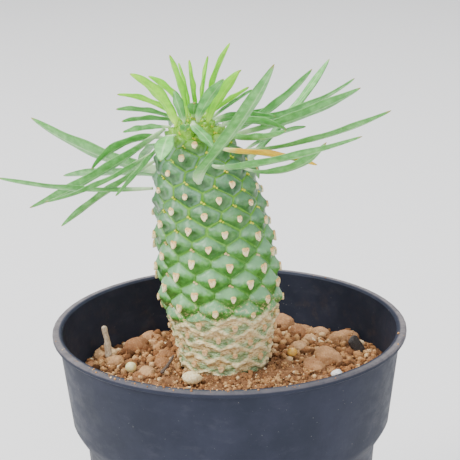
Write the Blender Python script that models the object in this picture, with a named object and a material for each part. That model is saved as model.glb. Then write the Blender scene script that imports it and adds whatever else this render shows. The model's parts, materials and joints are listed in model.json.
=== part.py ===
"""Potted euphorbia: a cone-shaped trunk of spiralled tubercles with strap leaves, in a round nursery pot.

Units are metres. +Z is up, and the origin is the middle of the pot's flat base.
Azimuth is measured in degrees from the front (-Y) towards +X.
"""

from math import cos, hypot, pi, radians, sin, tau

import bmesh
import bpy
import numpy as np
from mathutils import Vector, noise

MM = 0.001

# Pot: a 90 mm nursery pot with a straight collar above a narrower, tapered body.
POT_HEIGHT = 78 * MM
POT_RIM_RADIUS = 45 * MM
POT_BASE_RADIUS = 33 * MM
POT_WALL = 1.0 * MM
POT_FLOOR = 1.6 * MM
POT_LIP_OVERHANG = 1.5 * MM
POT_LIP_DEPTH = 1.5 * MM
POT_EDGE_ROUND = 0.4 * MM
COLLAR_DEPTH = 24 * MM
COLLAR_TAPER = 2.8 * MM
COLLAR_STEP_DEPTH = 6 * MM
COLLAR_STEP_IN = 3.5 * MM
DRAIN_HOLES = 6
DRAIN_HOLE_RADIUS = 3 * MM
DRAIN_CIRCLE_RADIUS = 22 * MM
POT_SIDES = 64

# Soil line: where the trunk comes out of the soil, below the pot's rim.
HEADROOM = 10 * MM
SOIL_LINE = POT_HEIGHT - HEADROOM

# Trunk: its surface is a lattice of tubercles, numbered downwards from the crown.
TRUNK_FOOT_X = -1.3 * MM
TRUNK_Y = 2.0 * MM
TRUNK_LEAN = 0.03
TRUNK_CURVE = 1.1
TURN_PER_TUBERCLE = 100.0
FIRST_AZIMUTH = 95.0
TOP_TUBERCLE = -22
BOTTOM_TUBERCLE = 149
TUBERCLE_DEPTH = 1.7 * MM
BURIED_TUBERCLE_DEPTH = 0.7 * MM
BURIED_FADE = 5 * MM
MOST_DEPTH_SHARE = 1 / 3
TUBERCLE_SHOULDER = 0.62
SHOULDER_SUNK = 0.3
GROOVE_SIDE_SUNK = 0.9
# (tubercle number, radius over the tubercle tips, height above the soil line)
TRUNK_PROFILE = [
    (-40, 0.5 * MM, 64.4 * MM),
    (-30, 2.2 * MM, 64.0 * MM),
    (-20, 4.2 * MM, 63.2 * MM),
    (-10, 6.6 * MM, 61.7 * MM),
    (0, 9.0 * MM, 59.2 * MM),
    (12, 12.2 * MM, 53.5 * MM),
    (26, 13.7 * MM, 46.6 * MM),
    (40, 14.5 * MM, 40.1 * MM),
    (58, 15.3 * MM, 31.9 * MM),
    (75, 15.8 * MM, 24.1 * MM),
    (92, 15.7 * MM, 16.3 * MM),
    (105, 14.3 * MM, 10.4 * MM),
    (117, 12.9 * MM, 5.0 * MM),
    (129, 12.1 * MM, -0.5 * MM),
    (140, 10.0 * MM, -5.5 * MM),
    (150, 7.5 * MM, -9.5 * MM),
    (158, 4.5 * MM, -12.5 * MM),
]
ROOT_END_BELOW = 1.5 * MM
SOIL_LINE_TUBERCLE = 129

# Soil: fills the pot and is heaped around the trunk.
SOIL_WALL_GAP = 0.35 * MM
SOIL_TRUNK_GAP = 0.35 * MM
SOIL_FLOOR_GAP = 0.3 * MM
SOIL_EDGE_DROP = 6.5 * MM
SOIL_DROP_ALL_ROUND = 0.55
SOIL_DROP_TO_BACK = 0.45
SOIL_DROP_TO_LEFT = 0.25
SOIL_SIDES = 48
SOIL_SURFACE_RINGS = 9
SOCKET_TUBERCLES = (133, 140, 145, 150, 158)
# (azimuth, distance from the pot's axis, radius, height) of each large lump in the surface
SOIL_LUMPS = [
    (-120, 28.5 * MM, 4.5 * MM, 4.0 * MM),
    (-115, 37 * MM, 4.0 * MM, 3.0 * MM),
    (-100, 30 * MM, 3.5 * MM, 2.5 * MM),
    (-139, 32 * MM, 4.0 * MM, 3.0 * MM),
    (-160, 33 * MM, 5.0 * MM, 3.0 * MM),
    (175, 32 * MM, 5.0 * MM, 3.0 * MM),
    (154, 33 * MM, 4.5 * MM, 5.0 * MM),
    (138, 27 * MM, 4.0 * MM, 3.5 * MM),
    (116, 32 * MM, 4.5 * MM, 4.0 * MM),
    (122, 38 * MM, 4.0 * MM, 3.5 * MM),
    (92, 25 * MM, 5.5 * MM, 3.0 * MM),
    (74, 23 * MM, 3.0 * MM, 2.0 * MM),
]

# Loose pieces on the soil: (name, azimuth, distance, half sizes, turn, colour)
REST_GAP = 0.3 * MM
TOPPING_UNEVENNESS = 0.10
TOPPINGS = [
    ("pumice_pebble", -33, 17.6 * MM, (2.4 * MM, 1.9 * MM, 1.6 * MM), 20, (0.78, 0.74, 0.64)),
    ("fertiliser_pellet_left", -83, 25.5 * MM, (1.5 * MM, 1.5 * MM, 1.4 * MM), 0, (0.80, 0.72, 0.38)),
    ("fertiliser_pellet_right", 98, 16.2 * MM, (1.3 * MM, 1.3 * MM, 1.2 * MM), 0, (0.75, 0.48, 0.12)),
    ("perlite_crumb", 65, 29.5 * MM, (1.5 * MM, 1.2 * MM, 1.1 * MM), 40, (0.86, 0.85, 0.82)),
    ("bark_chip", 103, 34 * MM, (3.0 * MM, 1.6 * MM, 0.7 * MM), 60, (0.09, 0.08, 0.08)),
]
STICK_SIDES = 8
STICK_TAPER = 0.35
STICK_CROOK = 0.05
STICK_STATIONS = (0.0, 0.3, 0.65, 1.0)
# Sticks: (name, foot azimuth, foot distance, length, radius, rise, heading, colour)
STICKS = [
    ("root_stub", -106, 33 * MM, 9 * MM, 1.0 * MM, 82, -120, (0.62, 0.50, 0.36)),
    ("twig", -67, 19.1 * MM, 6.5 * MM, 0.45 * MM, 28, 145, (0.12, 0.10, 0.09)),
]

# Leaves. Each grows from one tubercle, leaves it square to the trunk, and then turns to its heading.
LEAF_GAP = 0.35 * MM
LEAF_THICKNESS = 0.95 * MM
LEAF_TURN_SHARE = 0.35
LEAF_BASE_SHARE = 0.42
LEAF_WIDEST_AT = 0.55
LEAF_CHANNEL = 0.10
LEAF_EDGE_THICKNESS_SHARE = 0.55
LEAF_TIP_ROUNDNESS = 0.7
LEAF_STEPS = 100
# A leaf's six-sided section: (share of its half width, share of its half thickness)
LEAF_SECTION = [(-1, 0), (-0.5, 1), (0.5, 1), (1, 0), (0.5, -1), (-0.5, -1)]
LEAF_STATIONS = (0.0, 0.08, 0.2, 0.36, 0.54, 0.72, 0.86, 0.95)
OLD_LEAF = (0.17, 0.26, 0.17)
YOUNG_LEAF = (0.27, 0.42, 0.06)
DRY_LEAF = (0.62, 0.42, 0.08)
# (tubercle, heading, rise at base, rise at tip, length, width, blade roll, colour)
LEAVES = [
    (27, -86, -2, 15, 38 * MM, 3.8 * MM, 33, OLD_LEAF),
    (-2, -98, -38, -24, 41 * MM, 4.3 * MM, 37, OLD_LEAF),
    (9, -69, -31, -6, 29.5 * MM, 3.6 * MM, 34, OLD_LEAF),
    (16, -98, -31, -41, 30 * MM, 3.8 * MM, 32, OLD_LEAF),
    (2, -68, -46, -42, 17 * MM, 3.6 * MM, 32, OLD_LEAF),
    (23, -125, -1, 23, 44 * MM, 5.8 * MM, 62, OLD_LEAF),
    (30, -130, -3, -15, 43 * MM, 4.7 * MM, 32, OLD_LEAF),
    (5, -97, 6, -55, 22.5 * MM, 3.6 * MM, 37, OLD_LEAF),
    (-6, -105, 8, -15, 16 * MM, 3.1 * MM, 32, OLD_LEAF),
    (-9, -85, 4, -14, 11 * MM, 2.9 * MM, 32, OLD_LEAF),
    (-5, -10, 0, -34, 12 * MM, 4.6 * MM, 0, OLD_LEAF),
    (-13, -95, 22, -5, 15.5 * MM, 3.1 * MM, 32, OLD_LEAF),
    (-20, -100, 40, 0, 16.5 * MM, 3.1 * MM, 32, YOUNG_LEAF),
    (-16, -84, 74, 26, 17.5 * MM, 4.0 * MM, 50, YOUNG_LEAF),
    (-24, -108, 62, 22, 14 * MM, 3.1 * MM, 50, YOUNG_LEAF),
    (-23, -62, 72, 74, 8.5 * MM, 2.5 * MM, 50, OLD_LEAF),
    (-31, -105, 80, 68, 15.5 * MM, 2.9 * MM, 50, YOUNG_LEAF),
    (-17, -140, 80, 62, 13.5 * MM, 2.9 * MM, 50, YOUNG_LEAF),
    (-28, -125, 80, 84, 13.5 * MM, 3.4 * MM, 55, YOUNG_LEAF),
    (-32, 150, 84, 62, 14.5 * MM, 2.5 * MM, 50, YOUNG_LEAF),
    (-25, 108, 86, 55, 19 * MM, 2.9 * MM, 45, YOUNG_LEAF),
    (-26, 58, 64, 44, 14 * MM, 3.4 * MM, 30, OLD_LEAF),
    (-21, 118, 55, 25, 15.5 * MM, 3.1 * MM, 50, YOUNG_LEAF),
    (-22, 74, 68, 46, 15.5 * MM, 3.1 * MM, 50, YOUNG_LEAF),
    (-29, 97, 34, 30, 13 * MM, 2.5 * MM, 32, YOUNG_LEAF),
    (-14, 120, 30, 20, 13 * MM, 2.7 * MM, 32, OLD_LEAF),
    (-37, 5, 60, 30, 6 * MM, 3.0 * MM, 0, OLD_LEAF),
    (-18, 84, 16, -12, 15 * MM, 2.9 * MM, 32, OLD_LEAF),
    (17, 38, 38, 54, 49 * MM, 5.4 * MM, 0, OLD_LEAF),
    (22, 125, 30, 50, 37 * MM, 5.0 * MM, 10, OLD_LEAF),
    (4, 112, 16, 46, 28 * MM, 4.2 * MM, 55, OLD_LEAF),
    (0, 95, 10, 28, 33 * MM, 4.9 * MM, 42, OLD_LEAF),
    (-7, 105, -5, 34, 36 * MM, 4.5 * MM, 37, OLD_LEAF),
    (11, 101, 30, 4, 16.5 * MM, 3.1 * MM, 32, OLD_LEAF),
    (-11, 78, 22, -25, 16.5 * MM, 3.8 * MM, 37, OLD_LEAF),
    (-4, 62, -6, 26, 17 * MM, 3.8 * MM, 37, OLD_LEAF),
    (7, 89, 5, 26, 37.5 * MM, 3.6 * MM, 32, OLD_LEAF),
    (10, 77, 8, 22, 40 * MM, 3.8 * MM, 32, OLD_LEAF),
    (3, 90, 2, -20, 24 * MM, 3.1 * MM, 42, DRY_LEAF),
    (14, 68, -9, 54, 24 * MM, 3.6 * MM, 32, OLD_LEAF),
    (-3, 115, 0, 14, 20 * MM, 3.1 * MM, 32, OLD_LEAF),
    (-19, 42, -20, -40, 10 * MM, 3.4 * MM, 0, OLD_LEAF),
    (8, 172, 10, -45, 34 * MM, 3.6 * MM, 0, OLD_LEAF),
    (15, 160, -10, -50, 30 * MM, 3.6 * MM, 0, OLD_LEAF),
    (19, -172, -5, -50, 33 * MM, 3.8 * MM, 0, OLD_LEAF),
    (12, -158, 0, -50, 30 * MM, 3.4 * MM, 0, OLD_LEAF),
    (1, -168, 8, -35, 28 * MM, 3.4 * MM, 0, OLD_LEAF),
    (-10, 172, 5, -30, 22 * MM, 3.0 * MM, 0, OLD_LEAF),
    (26, 178, -25, -55, 24 * MM, 3.6 * MM, 0, OLD_LEAF),
    (-12, 10, 30, 20, 5.5 * MM, 2.4 * MM, 0, OLD_LEAF),
]


def clear_scene():
    for thing in list(bpy.data.objects):
        bpy.data.objects.remove(thing, do_unlink=True)


def make_material(name, colour, roughness, metallic=0.0):
    material = bpy.data.materials.new(name)
    material.use_nodes = True
    shader = material.node_tree.nodes["Principled BSDF"]
    shader.inputs["Base Color"].default_value = (*colour, 1.0)
    shader.inputs["Roughness"].default_value = roughness
    shader.inputs["Metallic"].default_value = metallic
    return material


def add_object(name, bm, material):
    """Links the mesh as one object, with its faces pointing out and shaded smooth."""
    bmesh.ops.recalc_face_normals(bm, faces=bm.faces)
    mesh = bpy.data.meshes.new(name)
    bm.to_mesh(mesh)
    bm.free()
    mesh.shade_smooth()
    mesh.set_sharp_from_angle(angle=radians(40))
    mesh.materials.append(material)
    made = bpy.data.objects.new(name, mesh)
    bpy.context.scene.collection.objects.link(made)
    return made


def direction(azimuth, rise=0.0):
    """Unit vector at an azimuth and a rise, both in degrees."""
    turn, lift = radians(azimuth), radians(rise)
    return Vector((sin(turn) * cos(lift), -cos(turn) * cos(lift), sin(lift)))


def join_rings(bm, rings):
    """Faces between neighbouring rings of equal length; a ring of one point is a pole."""
    for lower, upper in zip(rings, rings[1:]):
        count = max(len(lower), len(upper))
        for i in range(count):
            j = (i + 1) % count
            corners = [lower[i % len(lower)], lower[j % len(lower)]]
            corners += [upper[j % len(upper)], upper[i % len(upper)]]
            bm.faces.new(list(dict.fromkeys(corners)))


# ---- pot ----


def collar_radius(height):
    """Outer radius of the straight collar, which narrows downwards."""
    share = (POT_HEIGHT - POT_LIP_DEPTH - height) / (COLLAR_DEPTH - POT_LIP_DEPTH)
    return POT_RIM_RADIUS - POT_LIP_OVERHANG - COLLAR_TAPER * share


COLLAR_BOTTOM = POT_HEIGHT - COLLAR_DEPTH
BODY_TOP = COLLAR_BOTTOM - COLLAR_STEP_DEPTH
BODY_TOP_RADIUS = collar_radius(COLLAR_BOTTOM) - COLLAR_STEP_IN


def inner_radius(height):
    """Inner radius of the pot's wall at a height."""
    lip_foot = POT_HEIGHT - POT_LIP_DEPTH
    heights = [POT_FLOOR, BODY_TOP, COLLAR_BOTTOM, lip_foot]
    radii = [POT_BASE_RADIUS, BODY_TOP_RADIUS, collar_radius(COLLAR_BOTTOM), collar_radius(lip_foot)]
    return float(np.interp(height, heights, radii)) - POT_WALL


def pot_profile():
    """Half section of the pot, from the middle of its underside round the rim to the middle of its floor."""
    edge = POT_EDGE_ROUND
    lip_foot = POT_HEIGHT - POT_LIP_DEPTH
    bend = COLLAR_STEP_DEPTH / 4
    collar_foot = collar_radius(COLLAR_BOTTOM)
    outer = [
        (0, 0),
        (POT_BASE_RADIUS - edge, 0),
        (POT_BASE_RADIUS, edge),
        (BODY_TOP_RADIUS, BODY_TOP),
        (collar_foot - COLLAR_STEP_IN / 5, COLLAR_BOTTOM - bend),
        (collar_foot, COLLAR_BOTTOM),
        (collar_radius(lip_foot), lip_foot),
        (POT_RIM_RADIUS - edge, lip_foot),
        (POT_RIM_RADIUS, lip_foot + edge),
        (POT_RIM_RADIUS, POT_HEIGHT - edge),
        (POT_RIM_RADIUS - edge, POT_HEIGHT),
        (inner_radius(lip_foot) + edge, POT_HEIGHT),
        (inner_radius(lip_foot), POT_HEIGHT - edge),
    ]
    inner = [(inner_radius(height), height) for height in (COLLAR_BOTTOM, BODY_TOP, POT_FLOOR)]
    return outer + inner + [(0, POT_FLOOR)]


def make_pot():
    bm = bmesh.new()
    verts = [bm.verts.new((radius, 0, height)) for radius, height in pot_profile()]
    edges = [bm.edges.new(pair) for pair in zip(verts, verts[1:])]
    bmesh.ops.spin(
        bm, geom=verts + edges, cent=(0, 0, 0), axis=(0, 0, 1), angle=tau, steps=POT_SIDES, use_merge=True
    )
    bmesh.ops.remove_doubles(bm, verts=bm.verts, dist=1e-6)
    pot = add_object("pot", bm, make_material("pot_plastic", (0.055, 0.060, 0.075), 0.5))
    cut = pot.modifiers.new("drain holes", "BOOLEAN")
    cut.object = make_drain_cutter()
    cut.operation = "DIFFERENCE"
    return pot


def make_drain_cutter():
    """A ring of upright cylinders, one for each drain hole in the floor."""
    bm = bmesh.new()
    for i in range(DRAIN_HOLES):
        made = bmesh.ops.create_cone(
            bm,
            cap_ends=True,
            segments=16,
            radius1=DRAIN_HOLE_RADIUS,
            radius2=DRAIN_HOLE_RADIUS,
            depth=4 * POT_FLOOR,
        )
        place = direction(360 * i / DRAIN_HOLES) * DRAIN_CIRCLE_RADIUS
        bmesh.ops.translate(bm, verts=made["verts"], vec=place)
    cutter = add_object("drain_cutter", bm, None)
    cutter.hide_render = True
    cutter.display_type = "WIRE"
    return cutter


# ---- trunk ----


def trunk_axis(height):
    """Point on the trunk's axis, which leans to the left and bends a little further with height."""
    above = max(height - SOIL_LINE, 0.0)
    return Vector((TRUNK_FOOT_X - TRUNK_LEAN * above - TRUNK_CURVE * above * above, TRUNK_Y, height))


def profile_at(number):
    """(tip radius, height) of the trunk at a tubercle number, which need not be whole."""
    numbers, radii, heights = zip(*TRUNK_PROFILE)
    return float(np.interp(number, numbers, radii)), SOIL_LINE + float(np.interp(number, numbers, heights))


def tubercle_azimuth(number):
    return FIRST_AZIMUTH + TURN_PER_TUBERCLE * number


def tubercle_depth(height):
    """Depth of the grooves between tubercles, shallower in the soil."""
    buried = min(max((SOIL_LINE - height) / BURIED_FADE, 0.0), 1.0)
    return TUBERCLE_DEPTH + (BURIED_TUBERCLE_DEPTH - TUBERCLE_DEPTH) * buried


def trunk_point(number, azimuth, sunk):
    """Surface point; sunk is 0 on a tubercle's tip and 1 in the groove."""
    radius, height = profile_at(number)
    depth = min(tubercle_depth(height), radius * MOST_DEPTH_SHARE) * sunk
    return trunk_axis(height) + direction(azimuth) * (radius - depth)


def trunk_normal(number, azimuth):
    """Outward direction square to the trunk's outline."""
    radius_above, height_above = profile_at(number - 2)
    radius_below, height_below = profile_at(number + 2)
    out = height_above - height_below
    up = radius_below - radius_above
    size = hypot(out, up)
    return direction(azimuth) * (out / size) + Vector((0, 0, up / size))


# A tubercle's outline: (steps along the numbering, share of its half width), round from its top.
TUBERCLE_OUTLINE = [(-9, 0), (-3.5, 0.5), (2, 1), (5.5, 0.5), (9, 0), (3.5, -0.5), (-2, -1), (-5.5, -0.5)]


def make_trunk():
    half_width = 2 * TURN_PER_TUBERCLE - 180
    bm = bmesh.new()
    shared = {}

    def groove_vertex(number, side, azimuth):
        """Outline points are shared, keyed by where they fall in the numbering and on the circle."""
        key = (round(number * 2), round(azimuth % 360) % 360)
        if key not in shared:
            sunk = 1.0 if side in (0, 1, -1) else GROOVE_SIDE_SUNK
            shared[key] = bm.verts.new(trunk_point(number, azimuth, sunk))
        return shared[key]

    for number in range(TOP_TUBERCLE, BOTTOM_TUBERCLE + 1):
        middle = tubercle_azimuth(number)
        outer, inner = [], []
        for step, side in TUBERCLE_OUTLINE:
            outer.append(groove_vertex(number + step, side, middle + half_width * side))
            place = (number + step * TUBERCLE_SHOULDER, middle + half_width * side * TUBERCLE_SHOULDER)
            inner.append(bm.verts.new(trunk_point(*place, SHOULDER_SUNK)))
        tip = [bm.verts.new(trunk_point(number, middle, 0.0))]
        join_rings(bm, [outer, inner, tip])
    close_with_pole(bm, top=True, pole=trunk_axis(SOIL_LINE + TRUNK_PROFILE[0][2]))
    close_with_pole(bm, top=False, pole=trunk_axis(SOIL_LINE + TRUNK_PROFILE[-1][2] - ROOT_END_BELOW))
    return add_object("trunk", bm, make_material("trunk_skin", (0.05, 0.13, 0.05), 0.5))


def close_with_pole(bm, top, pole):
    """Closes the open end of the lattice with faces that meet in one point."""
    middle = sum(v.co.z for v in bm.verts) / len(bm.verts)
    edges = [e for e in bm.edges if e.is_boundary and (e.verts[0].co.z > middle) == top]
    centre = bm.verts.new(pole)
    for edge in edges:
        bm.faces.new((edge.verts[0], edge.verts[1], centre))


# ---- soil ----


def soil_height(x, y):
    """Height of the soil: heaped at the trunk and in front, lower at the back and the left, with lumps."""
    spread = min(hypot(x, y) / inner_radius(SOIL_LINE), 1.0)
    azimuth = np.arctan2(x, -y)
    sides = SOIL_DROP_TO_BACK * cos(azimuth) + SOIL_DROP_TO_LEFT * sin(azimuth)
    drop = SOIL_EDGE_DROP * (SOIL_DROP_ALL_ROUND - sides)
    height = SOIL_LINE - drop * spread * spread
    for lump_azimuth, distance, radius, rise in SOIL_LUMPS:
        centre = direction(lump_azimuth) * distance
        away = hypot(x - centre.x, y - centre.y) / radius
        height += rise * max(1 - away * away, 0.0) ** 2
    return float(height)


def make_soil():
    bm = bmesh.new()
    azimuths = [360 * i / SOIL_SIDES for i in range(SOIL_SIDES)]
    bottom = POT_FLOOR + SOIL_FLOOR_GAP

    def wall_ring(height):
        radius = inner_radius(height) - SOIL_WALL_GAP
        return [bm.verts.new(direction(a) * radius + Vector((0, 0, height))) for a in azimuths]

    def surface_ring(share):
        """Ring on the surface, from the wall (share 0) to the trunk (share 1)."""
        ring = []
        hole = profile_at(SOIL_LINE_TUBERCLE)[0] + SOIL_TRUNK_GAP
        for azimuth in azimuths:
            near = trunk_axis(0) + direction(azimuth) * hole
            edge = direction(azimuth) * (inner_radius(SOIL_LINE) - SOIL_WALL_GAP)
            height = soil_height(edge.x, edge.y)
            far = direction(azimuth) * (inner_radius(height) - SOIL_WALL_GAP)
            x, y = near.lerp(far, 1 - share).xy
            ring.append(bm.verts.new((x, y, soil_height(x, y))))
        return ring

    def socket_ring(number):
        radius, height = profile_at(number)
        ring = [trunk_axis(height) + direction(a) * (radius + SOIL_TRUNK_GAP) for a in azimuths]
        return [bm.verts.new(point) for point in ring]

    rings = [[bm.verts.new((0, 0, bottom))]]
    rings += [wall_ring(height) for height in (bottom, BODY_TOP, COLLAR_BOTTOM)]
    rings += [surface_ring(share) for share in np.linspace(0, 1, SOIL_SURFACE_RINGS)]
    rings += [socket_ring(number) for number in SOCKET_TUBERCLES]
    pit = SOIL_LINE + TRUNK_PROFILE[-1][2] - ROOT_END_BELOW - SOIL_TRUNK_GAP
    rings += [[bm.verts.new(trunk_axis(pit))]]
    join_rings(bm, rings)
    return add_object("potting_soil", bm, make_material("soil", (0.13, 0.065, 0.035), 0.95))


def surface_under(x, y, reach):
    """Highest soil under a round footprint."""
    steps = [(x, y)]
    for azimuth in range(0, 360, 45):
        side = direction(azimuth) * reach
        steps += [(x + side.x, y + side.y), (x + side.x / 2, y + side.y / 2)]
    return max(soil_height(*step) for step in steps)


def make_topping(name, azimuth, distance, half_sizes, turn, colour):
    """A pebble: a sphere stretched to its half sizes, with a gently uneven surface."""
    bm = bmesh.new()
    bmesh.ops.create_icosphere(bm, subdivisions=2, radius=1.0)
    for vert in bm.verts:
        bump = 1 + TOPPING_UNEVENNESS * noise.noise(vert.co * 1.3 + Vector((azimuth, distance / MM, 0)))
        vert.co = Vector(c * s * bump for c, s in zip(vert.co, half_sizes))
    place = direction(azimuth) * distance
    lowest = min(vert.co.z for vert in bm.verts)
    height = surface_under(place.x, place.y, 0.6 * half_sizes[0]) + REST_GAP - lowest
    piece = add_object(name, bm, make_material(name, colour, 0.8))
    piece.rotation_euler.z = radians(turn)
    piece.location = (place.x, place.y, height)
    return piece


def make_stick(name, azimuth, distance, length, radius, rise, heading, colour):
    """A tapered, slightly crooked stick whose foot rests on the soil."""
    bm = bmesh.new()
    foot = direction(azimuth) * distance
    line = direction(heading, rise)
    across = line.cross(Vector((0, 0, 1))).normalized()
    upper = across.cross(line)
    # The lower edge of the tilted foot is what comes nearest to the soil.
    foot.z = surface_under(foot.x, foot.y, 2 * radius) + REST_GAP + radius * cos(radians(rise))
    rings = []
    for share in STICK_STATIONS:
        crook = across * (STICK_CROOK * length * sin(pi * share))
        centre = foot + line * (length * share) + crook
        size = radius * (1 - STICK_TAPER * share)
        ring = []
        for i in range(STICK_SIDES):
            turn = tau * i / STICK_SIDES
            ring.append(bm.verts.new(centre + size * (cos(turn) * across + sin(turn) * upper)))
        rings.append(ring)
    rings = [[bm.verts.new(foot)]] + rings
    rings.append([bm.verts.new(foot + line * (length + 0.3 * radius))])
    join_rings(bm, rings)
    return add_object(name, bm, make_material(name, colour, 0.85))


# ---- leaves ----


def leaf_path(tubercle, heading, rise, tip_rise, length):
    """Points and directions along a leaf, which starts square to the trunk and turns to its heading."""
    azimuth = tubercle_azimuth(tubercle)
    normal = trunk_normal(tubercle, azimuth)
    # A foot that lies over to one side stands off by half its thickness as well.
    lean = normal.cross(direction(azimuth, rise)).length
    start = trunk_point(tubercle, azimuth, 0.0) + normal * (LEAF_GAP + LEAF_THICKNESS / 2 * lean)
    swing = (heading - azimuth + 180) % 360 - 180
    points, lines = [start], []
    for i in range(LEAF_STEPS + 1):
        share = i / LEAF_STEPS
        turned = 1 - (1 - min(share / LEAF_TURN_SHARE, 1.0)) ** 2
        line = direction(azimuth + swing * turned, rise + (tip_rise - rise) * share)
        lines.append(line)
        points.append(points[-1] + line * (length / LEAF_STEPS))
    return points[:-1], lines


def leaf_width(share):
    """Share of the full width along the blade: a narrow foot, widest past the middle, then a point."""
    if share < LEAF_WIDEST_AT:
        return LEAF_BASE_SHARE + (1 - LEAF_BASE_SHARE) * sin(pi / 2 * share / LEAF_WIDEST_AT)
    return cos(pi / 2 * (share - LEAF_WIDEST_AT) / (1 - LEAF_WIDEST_AT)) ** LEAF_TIP_ROUNDNESS


def make_leaf(name, tubercle, heading, rise, tip_rise, length, width, roll, colour):
    points, lines = leaf_path(tubercle, heading, rise, tip_rise, length)
    bm = bmesh.new()
    rings = []
    for share in LEAF_STATIONS:
        index = round(share * LEAF_STEPS)
        line = lines[index]
        level = line.cross(Vector((0, 0, 1))).normalized()
        tilt = radians(roll) * (-1 if level.y < 0 else 1)
        across = level * cos(tilt) + line.cross(level) * sin(tilt)
        upper = across.cross(line)
        half = width / 2 * leaf_width(share)
        edge = LEAF_EDGE_THICKNESS_SHARE
        thick = LEAF_THICKNESS / 2 * (edge + (1 - edge) * leaf_width(share))
        ring = []
        for side, face in LEAF_SECTION:
            lift = face * thick + LEAF_CHANNEL * half * side * side
            ring.append(bm.verts.new(points[index] + across * (side * half) + upper * lift))
        rings.append(ring)
    bm.faces.new(rings[0])
    rings.append([bm.verts.new(points[-1])])
    join_rings(bm, rings)
    return add_object(name, bm, make_material(name, colour, 0.55))


def main():
    clear_scene()
    make_pot()
    make_trunk()
    make_soil()
    for topping in TOPPINGS:
        make_topping(*topping)
    for stick in STICKS:
        make_stick(*stick)
    for count, leaf in enumerate(LEAVES, start=1):
        make_leaf(f"leaf_{count:02d}", *leaf)


main()
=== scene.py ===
"""Looks of the potted euphorbia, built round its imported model. Metres, +Z is up and -Y is the front."""

import json
from itertools import product
from math import cos, pi, radians, sin, tau

import bpy
import numpy as np
from mathutils import Matrix, Vector

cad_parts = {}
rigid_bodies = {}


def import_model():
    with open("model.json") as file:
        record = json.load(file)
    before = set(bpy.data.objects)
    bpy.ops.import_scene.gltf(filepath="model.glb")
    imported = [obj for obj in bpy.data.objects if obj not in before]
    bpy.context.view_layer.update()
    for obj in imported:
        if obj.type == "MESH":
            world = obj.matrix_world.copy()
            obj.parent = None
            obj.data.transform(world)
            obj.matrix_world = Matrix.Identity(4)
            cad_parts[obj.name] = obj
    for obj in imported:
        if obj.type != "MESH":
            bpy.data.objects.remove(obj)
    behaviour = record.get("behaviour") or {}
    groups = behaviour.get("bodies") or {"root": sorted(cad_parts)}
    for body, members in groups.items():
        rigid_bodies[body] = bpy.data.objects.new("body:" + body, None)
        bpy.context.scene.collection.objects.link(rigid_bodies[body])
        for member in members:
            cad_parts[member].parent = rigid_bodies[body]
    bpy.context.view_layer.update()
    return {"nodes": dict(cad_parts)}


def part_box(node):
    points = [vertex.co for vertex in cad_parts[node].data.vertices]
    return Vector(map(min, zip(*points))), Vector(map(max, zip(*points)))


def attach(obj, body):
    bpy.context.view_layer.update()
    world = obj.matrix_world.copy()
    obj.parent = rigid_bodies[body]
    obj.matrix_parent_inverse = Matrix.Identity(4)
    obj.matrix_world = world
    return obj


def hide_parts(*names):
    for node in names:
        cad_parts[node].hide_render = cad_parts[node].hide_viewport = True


MM = 0.001

# Pot, with the outside of its wall at the floor, below and above the step, and under the lip
POT_HEIGHT = 78 * MM
RIM_RADIUS = 45 * MM
RIM_INNER_RADIUS = 42.5 * MM
WALL_HEIGHTS = np.array([1.6, 48, 54, 76.5]) * MM
WALL_RADII = np.array([33, 37.2, 40.7, 43.5]) * MM
WALL_THICKNESS = 1.0 * MM
COLLAR_SLOPE = 0.1244

# Trunk: an axis that leans and bends, and a lattice of tubercles, numbered downwards from the crown
SOIL_LINE = 68 * MM
TRUNK_FOOT_X, TRUNK_Y = -1.3 * MM, 2.0 * MM
TRUNK_LEAN, TRUNK_CURVE = 0.03, 1.1
TURN = 100.0
FIRST_AZIMUTH = 95.0
TUBERCLE_DEPTH = 1.7 * MM
BURIED_DEPTH = 0.7 * MM
MOST_DEPTH_SHARE = 1 / 3
SOIL_LINE_TUBERCLE = 129.0
SOCKET_TUBERCLES = (133.0, 140.0, 150.0, 158.0)
CORK_FROM = 94
# The rows tilt up to the right and sag towards the back, and the cells are narrower in front. Both set in
# between two numbers below the crown
ROW_TILT, ROW_SAG, ROW_RAISE = 3.3, 4.9, 1.0
FRONT_NARROWING = 7.5
SETS_IN = (2, 26)
CELL_FLATNESS = 1.45
NEIGHBOURS = (0, 3, -3, 4, -4, 7, -7, 11, -11, 18, -18)
# (tubercle number, radius over the tubercle tips, height above the soil line)
TRUNK_PROFILE = np.array([
    (-40, 0.5, 64.4), (-30, 2.2, 64.0), (-20, 4.2, 63.2), (-10, 6.6, 61.7), (0, 9.0, 59.2),
    (12, 12.2, 53.5), (26, 13.7, 46.6), (40, 14.5, 40.1), (58, 15.3, 31.9), (75, 15.8, 24.1),
    (92, 15.7, 16.3), (105, 14.3, 10.4), (117, 12.9, 5.0), (129, 12.1, -0.5), (140, 10.0, -5.5),
    (150, 7.5, -9.5), (158, 4.5, -12.5),
])

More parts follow.
